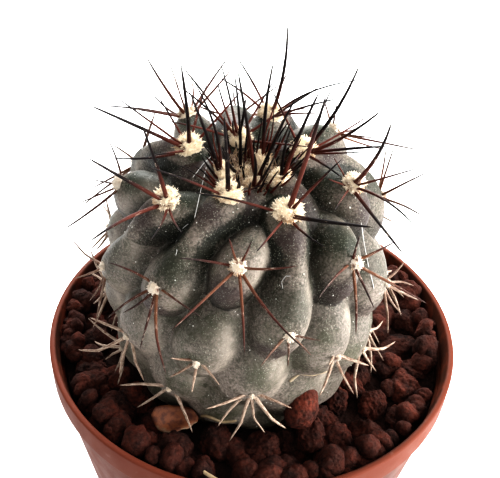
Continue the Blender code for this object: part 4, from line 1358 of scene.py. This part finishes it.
def tuft_fibres(areole, radius, ways, count, draw):
    """Lines of the fibres of one pad, spread over its dome, and how low on it each stands, which the
    material paints brown as shade.
    """
    heading = draw.uniform(0, TURN, count)
    rise = np.arcsin(draw.uniform(*FIBRE_RISES, count))
    outward = all_from_axis(heading, np.cos(rise), np.sin(rise))
    reach = radius * draw.uniform(*FIBRE_REACHES, count)[:, None]
    shape = np.array(PAD_SHAPE)
    stray = draw.normal(0, TIP_STRAY, (count, 3))
    root = outward * shape * reach * FIBRE_ROOT
    tip = (outward + stray) * shape * reach
    middle = (root + tip) / 2 + draw.normal(0, MIDDLE_STRAY, (count, 3)) * reach
    share = np.array(FIBRE_PLACES)[None, :, None]
    lines = (1 - share) ** 2 * root[:, None] + 2 * share * (1 - share) * middle[:, None]
    lines += share ** 2 * tip[:, None]
    turn = np.array(areole.to_3x3())
    # How far a fibre points down and along the skin, for the painted shade on the pad's lower side
    low = np.clip(-outward[:, 1] - outward[:, 2] * 0.6, 0, 1)
    kept = hollow(outward, ways, radius) < OPEN_PIT
    return (lines @ turn.T + np.array(areole.translation))[kept], low[kept]


def wool_group(name, areoles, ways, settings, material):
    """Fibres of several pads in one piece, to stand over the pads' cores."""
    draw = np.random.default_rng(SEEDS[name])
    lines, ages, thickness, low = [], [], [], []
    for number, areole in areoles:
        radius = pad_radius(number)
        count = int(settings.fibres * (radius / FULLEST_PAD) ** FIBRE_GROWTH)
        pad, pad_low = tuft_fibres(areole, radius, ways.get(number), count, draw)
        lines.append(pad)
        low.append(pad_low)
        ages += [number / AGE_SPAN] * len(pad)
        thickness += list(settings.fibre_radius * draw.uniform(*FIBRE_GIRTHS, len(pad)))
    radii = np.array(thickness)[:, None] * np.array(FIBRE_TAPER)
    wool = tubes(name, np.concatenate(lines), radii, FIBRE_SIDES, material)
    size = (len(FIBRE_TAPER), FIBRE_SIDES)
    add_values(wool, age=per_tube(ages, *size), low=per_tube(np.concatenate(low), *size))
    return wool


def wool_cores(areoles, ways, material):
    """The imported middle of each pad, so that no skin shows through the fibres."""
    points, faces, ages, pits = [], [], [], []
    for number, areole in areoles:
        radius = pad_radius(number)
        bm = bmesh.new()
        bmesh.ops.create_icosphere(bm, subdivisions=4, radius=1)
        start = len(points)
        near_spine = hollow(np.array([vert.co for vert in bm.verts]), ways.get(number), radius)
        pits.append(near_spine)
        shift = Vector((number, 0, 0))
        for vert, pit in zip(bm.verts, near_spine):
            lump = 1 + CORE_LUMP_HEIGHT * noise.noise(vert.co * CORE_LUMP_PITCH + shift)
            lump -= CORE_PIT_DEPTH * pit
            local = Vector([part * width for part, width in zip(vert.co, PAD_SHAPE)])
            points.append(tuple(areole @ (local * radius * CORE_SIZE * lump)))
            ages.append(number / AGE_SPAN)
        faces += [[start + v.index for v in face.verts] for face in bm.faces]
        bm.free()
    cores = mesh_object("wool_cores", points, faces, material)
    # pit dents each core round its spines, and the material paints these dents with shade
    add_values(cores, age=ages, along=0.5, pit=np.concatenate(pits))
    return cores


def crown_mat(settings, material):
    """Wool that merges between the youngest areoles."""
    draw = np.random.default_rng(SEEDS["crown_wool"])
    count = settings.fibres
    arc = MAT_REACH * np.sqrt(draw.uniform(0, 1, count))
    angle = draw.uniform(0, TURN, count)
    skin, normals, *_ = STEM.skin(angle, arc)
    root = STEM.world(skin - normals * MAT_DEPTH)
    outward = (normals + draw.normal(0, MAT_STRAY, (count, 3))) @ STEM.turn.T
    reach = draw.uniform(*MAT_LENGTHS, count)[:, None] * MM
    share = np.linspace(0, 1, len(MAT_TAPER))[None, :, None]
    curl = draw.normal(0, MAT_CURL, (count, 3))[:, None] * reach[:, None] * share ** 2
    lines = root[:, None] + outward[:, None] * reach[:, None] * share + curl
    radii = settings.fibre_radius * draw.uniform(*MAT_GIRTHS, count)[:, None] * np.array(MAT_TAPER)
    mat = tubes("crown_wool", lines, radii, FIBRE_SIDES, material)
    # low and pit paint the whole mat brown, as painted shade between the crown's pads
    add_values(mat, age=0, low=0.9, pit=0.45)
    return mat


class COPIAPOA_OT_make_wool(Operator):
    """Spread the wool of the areoles and of the crown"""
    bl_idname = "copiapoa.make_wool"
    bl_label = "Make Wool"

    def execute(self, context):
        settings = context.scene.copiapoa.wool
        material = wool_material(settings)
        areoles = shown_areoles()
        young = [areole for areole in areoles if areole[0] <= SHOULDER_UNTIL]
        old = [areole for areole in areoles if areole[0] > SHOULDER_UNTIL]
        ways = spine_ways()
        set_in_place(wool_cores(areoles, ways, material), "wool")
        set_in_place(crown_mat(settings, material), "wool")
        set_in_place(wool_group("shoulder_wool", young, ways, settings, material), "wool")
        set_in_place(wool_group("flank_wool", old, ways, settings, material), "wool")
        return {"FINISHED"}


def spine_material(settings):
    """Red root and black tip on a young spine, bleached tan on an old one."""
    worn_root, worn_middle, worn_tip = (0.125, 0.055, 0.030), (0.062, 0.022, 0.016), (0.026, 0.016, 0.015)
    old_brown, old_tip = (0.125, 0.070, 0.042), (0.13, 0.070, 0.046)
    pale_core, stain = (0.46, 0.37, 0.30), (0.09, 0.035, 0.022)
    shader = Shader("spine")
    along, age, tone = shader.value("along"), shader.value("age"), shader.value("tone")
    darkness = shader.plus(along, shader.times(shader.minus(tone, 0.4), 0.5))
    ripened = shader.minus(darkness, shader.times(age, 1.3))
    young = shader.mix(shader.ramp(ripened, 0.02, 0.34), settings.root, settings.tip)
    worn = shader.mix(shader.ramp(darkness, 0.0, 0.25), worn_root, worn_middle)
    worn = shader.mix(shader.ramp(darkness, 0.30, 0.7), worn, worn_tip)
    old = shader.mix(shader.ramp(tone, 0.0, 0.6, 0.0, 0.75), settings.old, old_brown)
    old = shader.mix(shader.ramp(darkness, 0.6, 1.1), old, old_tip)
    peel_place = shader.node("CombineXYZ", {
        "X": shader.value("around"), "Y": shader.times(along, 3.0), "Z": shader.times(tone, 40.0)})
    streaks = shader.noise(3.0, 6, 0.7, peel_place.outputs[0])
    peeled = shader.ramp(shader.plus(streaks, shader.times(age, 0.22)), 0.66, 0.71)
    shade = shader.layered(
        young,
        (shader.ramp(age, 0.26, 0.34), 1, worn),
        (shader.ramp(age, 0.44, 0.60), 1, old),
        (peeled, 0.75, pale_core),
        (shader.ramp(streaks, 0.50, 0.40), shader.ramp(age, 0.3, 0.5, 0.0, 0.7), stain),
    )
    ridges = shader.bump(streaks, 0.05 * MM, 0.6)
    return shader.finish(Base_Color=shade, Roughness=0.55, Specular_IOR_Level=0.12, Normal=ridges)


def spreading_spines(number, draw):
    """An areole's own spines, or those of its age with small changes, as in the solids."""
    if number in OWN_SPINES:
        return OWN_SPINES[number]
    spines = next(spines for last_number, spines in AGE_SPINES if number <= last_number)
    return [
        (clock + draw.uniform(-CLOCK_JITTER, CLOCK_JITTER), rise + draw.uniform(-RISE_JITTER, RISE_JITTER),
         length * draw.uniform(1 - LENGTH_JITTER, 1 + LENGTH_JITTER), radius)
        for clock, rise, length, radius in spines
    ]


def bent_clear(tip):
    """Lift a tip that would reach into the stones or the pot's lip."""
    beside_lip = math.hypot(tip.x, tip.y) > RIM_RADIUS - 2 * LIP_WIDTH
    lowest = POT_HEIGHT + 2 * GAP if beside_lip else STONE_TOP + GAP
    return Vector((tip.x, tip.y, max(tip.z, lowest)))


def leading_spine_list():
    """The crown's long spines, each as (root, tip, root radius, areole number)."""
    axes = STEM.to_world.to_3x3()
    found = []
    for number, heading, tilt, length, radius in LEADING_SPINES:
        areole = STEM.areole_frame(number)
        tilted = Matrix.Rotation(heading * DEG, 3, "Z") @ Matrix.Rotation(tilt * DEG, 3, "Y")
        tip = areole.translation + axes @ tilted @ Vector((0, 0, length * MM))
        found.append((areole @ Vector((0, 0, -ROOT_DEPTH)), tip, radius * MM, number))
    return found


def bud_spine_list(count, draw):
    """Short young spines that crowd the crown."""
    found = []
    for _ in range(count):
        arc = CROWN_REACH * math.sqrt(draw.random())
        angle = draw.uniform(0, TURN)
        skin, normals, *_ = STEM.skin(np.array([angle]), np.array([arc]))
        root = Vector(STEM.world(skin - normals * ROOT_DEPTH)[0])
        heading = angle + draw.uniform(-0.5, 0.5)
        tilt = (BUD_TILTS[0] + BUD_TILTS[1] * arc / CROWN_REACH) * DEG
        way = from_axis(heading, math.sin(tilt), math.cos(tilt))
        tip = root + STEM.to_world.to_3x3() @ way * draw.uniform(*BUD_LENGTHS) * MM
        found.append((root, tip, draw.uniform(*BUD_RADII) * MM, CROWN_UNTIL))
    return found


def spreading_spine_list():
    """The same spines as in the solids, from the same order of draws."""
    draw = random.Random(SPINE_SEED)
    found = []
    for number, areole in shown_areoles():
        root = areole @ Vector((0, 0, -ROOT_DEPTH))
        for clock, rise, length, radius in spreading_spines(number, draw):
            turn = Matrix.Rotation(-clock * DEG, 3, "Z") @ Matrix.Rotation(rise * DEG, 3, "X")
            tip = bent_clear(areole @ (turn @ Vector((0, length * MM, 0))))
            if not meets_leaning_stone(root, tip):
                found.append((root, tip, radius * MM, number))
    return found


def spine_object(name, spines, tones, settings, material):
    """Round, slightly bowed spines that keep their girth and then taper fast."""
    draw = np.random.default_rng(SEEDS[name])
    roots, tips, girth, numbers = (np.array(values) for values in zip(*spines))
    ages = numbers / AGE_SPAN
    count, rings = len(spines), settings.rings + 1
    share = np.linspace(0, 1, rings)
    axis = tips - roots
    length = np.linalg.norm(axis, axis=1)
    sideways = np.cross(axis, draw.normal(0, 1, (count, 3)))
    sideways /= np.linalg.norm(sideways, axis=1, keepdims=True)
    bow = (length * draw.normal(0, settings.bow, count))[:, None] * sideways
    curve = share * (1 - share) * 4
    lines = roots[:, None] + axis[:, None] * share[None, :, None]
    lines += bow[:, None] * curve[None, :, None]
    kink = length * np.clip(ages - KINK_AGE, 0, GREATEST_KINK) * draw.uniform(-1.0, 1.0, count)
    past_kink = np.clip(share - draw.uniform(*KINK_PLACES), 0, 1)
    lines += (kink[:, None] * sideways)[:, None] * past_kink[None, :, None]
    along = (1 - share) ** TAPER * (1 + ROOT_FLARE * np.exp(-share / FLARE_REACH))
    knots = 1 + draw.normal(0, UNEVENNESS, (count, rings))
    stoutness = YOUNG_GIRTH
    for gain, first_age, span in GIRTH_GAINS:
        stoutness = stoutness + gain * past(ages, first_age, span)
    radii = (girth * (settings.girth * stoutness))[:, None] * along[None] * knots
    made = tubes(name, lines, radii, settings.sides, material)
    add_values(made, age=per_tube(ages, rings, settings.sides),
               tone=per_tube(draw.uniform(*tones, count), rings, settings.sides))
    return made


class COPIAPOA_OT_make_spines(Operator):
    """Set the long crown spines and the spreading spines of each areole"""
    bl_idname = "copiapoa.make_spines"
    bl_label = "Make Spines"

    def execute(self, context):
        settings = context.scene.copiapoa.spines
        material = spine_material(settings)
        buds = bud_spine_list(settings.buds, random.Random(SEEDS["bud_places"]))
        groups = (
            ("crown_spines", leading_spine_list(), (0.0, 1.0)),
            ("crown_buds", buds, (-0.9, 0.7)),
            ("spreading_spines", spreading_spine_list(), (-0.5, 0.6)),
        )
        for name, spines, tones in groups:
            set_in_place(spine_object(name, spines, tones, settings, material), "spines")
        return {"FINISHED"}


def plain_material(name, colour, roughness):
    """One colour in lighter and darker patches."""
    shader = Shader(name)
    shade = shader.mix(shader.patches(1500, 5, 0.5, 0.35, 0.65), colour, darker(colour, 0.7))
    return shader.finish(Base_Color=shade, Roughness=roughness)


def mealy_grains(settings):
    """Pale grains caught on the skin."""
    draw = np.random.default_rng(SEEDS["mealy_grains"])
    arc = draw.uniform(GRAINLESS_CROWN, STEM.ground_arc - GRAINLESS_FOOT, settings.grains)
    angle = draw.uniform(0, TURN, settings.grains)
    skin, normals, *_ = STEM.skin(angle, arc)
    bm = bmesh.new()
    for place in STEM.world(skin + normals * GRAIN_LIFT):
        size = draw.uniform(*GRAIN_SIZES) * MM
        turn = Matrix.Rotation(draw.uniform(0, TURN), 4, Vector(draw.normal(0, 1, 3)))
        shape = Matrix.Diagonal((size, size * draw.uniform(0.5, 1), size * draw.uniform(0.5, 1), 1))
        whole = Matrix.Translation(place) @ turn @ shape
        bmesh.ops.create_icosphere(bm, subdivisions=1, radius=1, matrix=whole)
    return object_from_bmesh("mealy_grains", bm, plain_material("pale_grain", (0.78, 0.77, 0.70), 0.6))


def laid_on_skin(route, lift):
    """The points of a route, in mm, moved to the nearest skin and lifted from it."""
    local = STEM.local(np.array(route) * MM)
    reach = np.hypot(local[:, 0], local[:, 1])
    outline_reach, outline_height = STEM.outline.T
    gaps = np.hypot(reach[:, None] - outline_reach, local[:, 2, None] - outline_height)
    arc = STEM.arcs[np.argmin(gaps, axis=1)]
    skin, normals, *_ = STEM.skin(np.arctan2(local[:, 1], local[:, 0]), arc)
    return STEM.world(skin + normals * lift) / MM


def eased_line(route):
    """A route in mm as one line of rings, with its kinks eased."""
    knots = np.arange(len(route))
    places = np.linspace(0, len(route) - 1, STRAND_RINGS)
    line = np.stack([np.interp(places, knots, axis) for axis in np.array(route).T], axis=-1) * MM
    line[1:-1] = (line[:-2] + 2 * line[1:-1] + line[2:]) / 4
    return line


def strands(name, routes, radius, material):
    """Thin tubes along routes given in mm."""
    lines = np.array([eased_line(route) for route in routes])
    return tubes(name, lines, np.full(lines.shape[:2], radius), STRAND_SIDES, material)


def flake_material(settings):
    """Orange-brown husk with a tan edge."""
    vein = (0.055, 0.016, 0.010)
    shader = Shader("dry_husk")
    edge = shader.plus(shader.value("edge"), shader.patches(900, 4, 0.5, 0.3, 0.7, -0.2, 0.2))
    veins = shader.noise(1100, 6, 0.7)
    shade = shader.layered(
        shader.mix(shader.ramp(edge, 0.75, 1.05), settings.husk, darker(settings.straw, 0.35)),
        (shader.ramp(veins, 0.44, 0.60, 0.0, 0.8), 1, vein),
    )
    return shader.finish(Base_Color=shade, Roughness=0.7, Normal=shader.bump(veins, 0.08 * MM, 0.6))


def flake_object(index, flake, material):
    """A thin dished scrap of husk."""
    centre, half_length, half_width, heading, tilt, dip = flake
    share = np.linspace(FLAKE_CENTRE, 1, FLAKE_RINGS)
    share = np.concatenate((share, share[::-1]))
    under = np.repeat((0.0, FLAKE_THICKNESS), FLAKE_RINGS)
    angle = np.arange(FLAKE_COLUMNS) * TURN / FLAKE_COLUMNS
    circle = all_from_axis(angle, 1, np.full(FLAKE_COLUMNS, index))
    reach = share[:, None] * (1 + uneven(circle, 0.9, 0.22))[None]
    x = reach * np.cos(angle) * half_length * MM
    y = reach * np.sin(angle) * half_width * MM * (1 - 0.3 * np.cos(angle))
    z = dip * MM * (reach ** 2 - 0.6 * reach ** 4 + 0.3 * np.sin(3 * angle) * reach ** 3) - under[:, None]
    points = np.stack((x, y, z), axis=-1).reshape(-1, 3)
    turn = Matrix.Rotation(heading * DEG, 3, "Z") @ Matrix.Rotation(tilt * DEG, 3, "X")
    place = np.array(centre) * MM
    points = points @ np.array(turn).T + place
    ends = [np.array(turn @ Vector((0, 0, -depth))) + place for depth in (0.0, FLAKE_THICKNESS)]
    flake = capped_grid(f"dry_flake_{index + 1}", points, len(share), FLAKE_COLUMNS, ends, material)
    edge = share[:, None] * np.clip(0.3 - 1.5 * np.sin(angle), 0, 1)
    add_values(flake, edge=np.append(edge, (0, 0)))
    return flake


class COPIAPOA_OT_scatter_debris(Operator):
    """Lay grains, fibres, a straw, a strip, a flake and a cork scar on the plant and the gravel"""
    bl_idname = "copiapoa.scatter_debris"
    bl_label = "Scatter Debris"

    def execute(self, context):
        settings = context.scene.copiapoa.debris
        set_in_place(mealy_grains(settings), "wool")
        white = plain_material("white_fibre", (0.66, 0.65, 0.62), 0.6)
        straw = plain_material("straw", settings.straw, 0.6)
        strip = plain_material("dry_strip", (0.20, 0.145, 0.08), 0.7)
        cork = plain_material("cork_scar", (0.36, 0.29, 0.20), 0.8)
        lying = [laid_on_skin(route, 0.04 * MM) for route in SKIN_FIBRES]
        thin_pieces = (
            ("fallen_fibres", FALLEN_FIBRES, 0.045 * MM, white, "wool"),
            ("skin_fibres", lying, 0.035 * MM, white, "wool"),
            ("straw", [STRAW_ENDS], 0.24 * MM, straw, "gravel"),
            ("dry_strip", [laid_on_skin(DRY_STRIP, 0.12 * MM)], 0.2 * MM, strip, "gravel"),
            ("cork_scar", [laid_on_skin(CORK_SCAR, 0)], 0.2 * MM, cork, "cactus"),
        )
        for name, routes, radius, material, slot in thin_pieces:
            set_in_place(strands(name, routes, radius, material), slot)
        husk = flake_material(settings)
        for index, flake in enumerate(FLAKES):
            set_in_place(flake_object(index, flake, husk), "gravel")
        return {"FINISHED"}


def add_area_light(name, place, power):
    light = bpy.data.lights.new(name, "AREA")
    light.shape = "DISK"
    light.size = LIGHT_SIZE
    light.energy = power
    obj = new_object(name, light)
    obj.location = place
    obj.rotation_euler = (Vector(LIGHT_AIM) - Vector(place)).to_track_quat("-Z", "Y").to_euler()


def add_floor(settings):
    bm = bmesh.new()
    bmesh.ops.create_grid(bm, x_segments=2, y_segments=2, size=FLOOR_SIZE)
    shader = Shader("pale_floor")
    floor = object_from_bmesh("floor", bm, shader.finish(Base_Color=settings.floor, Roughness=0.9))


def add_camera():
    """The photo's view: down at the rim, with a slight roll."""
    back = Vector((0, -math.cos(CAMERA_ELEVATION), math.sin(CAMERA_ELEVATION)))
    right = Vector((1, 0, 0))
    up = back.cross(right)
    turned_right = math.cos(CAMERA_ROLL) * right + math.sin(CAMERA_ROLL) * up
    turned_up = math.cos(CAMERA_ROLL) * up - math.sin(CAMERA_ROLL) * right
    camera = new_object("camera", bpy.data.cameras.new("camera"))
    camera.data.sensor_width = CAMERA_SENSOR
    camera.data.lens = CAMERA_LENS
    camera.data.clip_start = 1 * MM
    axes = Matrix((turned_right, turned_up, back)).transposed().to_4x4()
    camera.matrix_world = Matrix.Translation(CAMERA_AIM + back * CAMERA_DISTANCE) @ axes
    bpy.context.scene.camera = camera


def set_surroundings(settings):
    """White surroundings, brighter on the window's side, and the photo's contrast."""
    world = bpy.data.worlds.new("white_surroundings")
    world.use_nodes = True
    tree = world.node_tree
    background = tree.nodes["Background"]
    background.inputs["Color"].default_value = (1, 1, 1, 1)
    way = tree.nodes.new("ShaderNodeTexCoord")
    towards = tree.nodes.new("ShaderNodeVectorMath")
    towards.operation = "DOT_PRODUCT"
    towards.inputs[1].default_value = WINDOW_SIDE
    strength = tree.nodes.new("ShaderNodeMapRange")
    strength.inputs["From Min"].default_value = DIM_SIDE
    strength.inputs["To Min"].default_value = settings.shade
    strength.inputs["To Max"].default_value = settings.sky
    tree.links.new(way.outputs["Generated"], towards.inputs[0])
    tree.links.new(towards.outputs["Value"], strength.inputs["Value"])
    tree.links.new(strength.outputs["Result"], background.inputs["Strength"])
    bpy.context.scene.world = world
    bpy.context.scene.view_settings.view_transform = "Standard"
    bpy.context.scene.view_settings.look = "High Contrast"


class COPIAPOA_OT_set_stage(Operator):
    """Set the pale floor, the studio lights and the photo's camera"""
    bl_idname = "copiapoa.set_stage"
    bl_label = "Set Stage"

    def execute(self, context):
        settings = context.scene.copiapoa.stage
        add_floor(settings)
        add_area_light("key_light", KEY_PLACE, settings.key)
        add_area_light("back_light", BACK_PLACE, settings.back)
        set_surroundings(settings)
        add_camera()
        return {"FINISHED"}


class COPIAPOA_PT_panel(Panel):
    bl_idname = "COPIAPOA_PT_panel"
    bl_label = "Potted Copiapoa"
    bl_space_type = "VIEW_3D"
    bl_region_type = "UI"
    bl_category = "Copiapoa"

    def draw(self, context):
        settings = context.scene.copiapoa
        for operator, group in PIECES:
            box = self.layout.box()
            box.operator(operator.bl_idname)
            values = getattr(settings, group)
            for name in values.__annotations__:
                box.prop(values, name)


PIECES = (
    (COPIAPOA_OT_make_pot, "pot"),
    (COPIAPOA_OT_make_gravel, "gravel"),
    (COPIAPOA_OT_make_stem, "skin"),
    (COPIAPOA_OT_make_wool, "wool"),
    (COPIAPOA_OT_make_spines, "spines"),
    (COPIAPOA_OT_scatter_debris, "debris"),
    (COPIAPOA_OT_set_stage, "stage"),
)
CLASSES = (
    PotSettings,
    GravelSettings,
    SkinSettings,
    WoolSettings,
    SpineSettings,
    DebrisSettings,
    StageSettings,
    CopiapoaSettings,
    *(operator for operator, _ in PIECES),
    COPIAPOA_PT_panel,
)


def register():
    for cls in CLASSES:
        bpy.utils.register_class(cls)
    bpy.types.Scene.copiapoa = PointerProperty(type=CopiapoaSettings)


def unregister():
    del bpy.types.Scene.copiapoa
    for cls in reversed(CLASSES):
        bpy.utils.unregister_class(cls)


def main():
    register()
    bpy.ops.copiapoa.make_pot()
    bpy.ops.copiapoa.make_gravel()
    bpy.ops.copiapoa.make_stem()
    bpy.ops.copiapoa.make_wool()
    bpy.ops.copiapoa.make_spines()
    bpy.ops.copiapoa.scatter_debris()
    bpy.ops.copiapoa.set_stage()


if __name__ == "__main__":
    main()
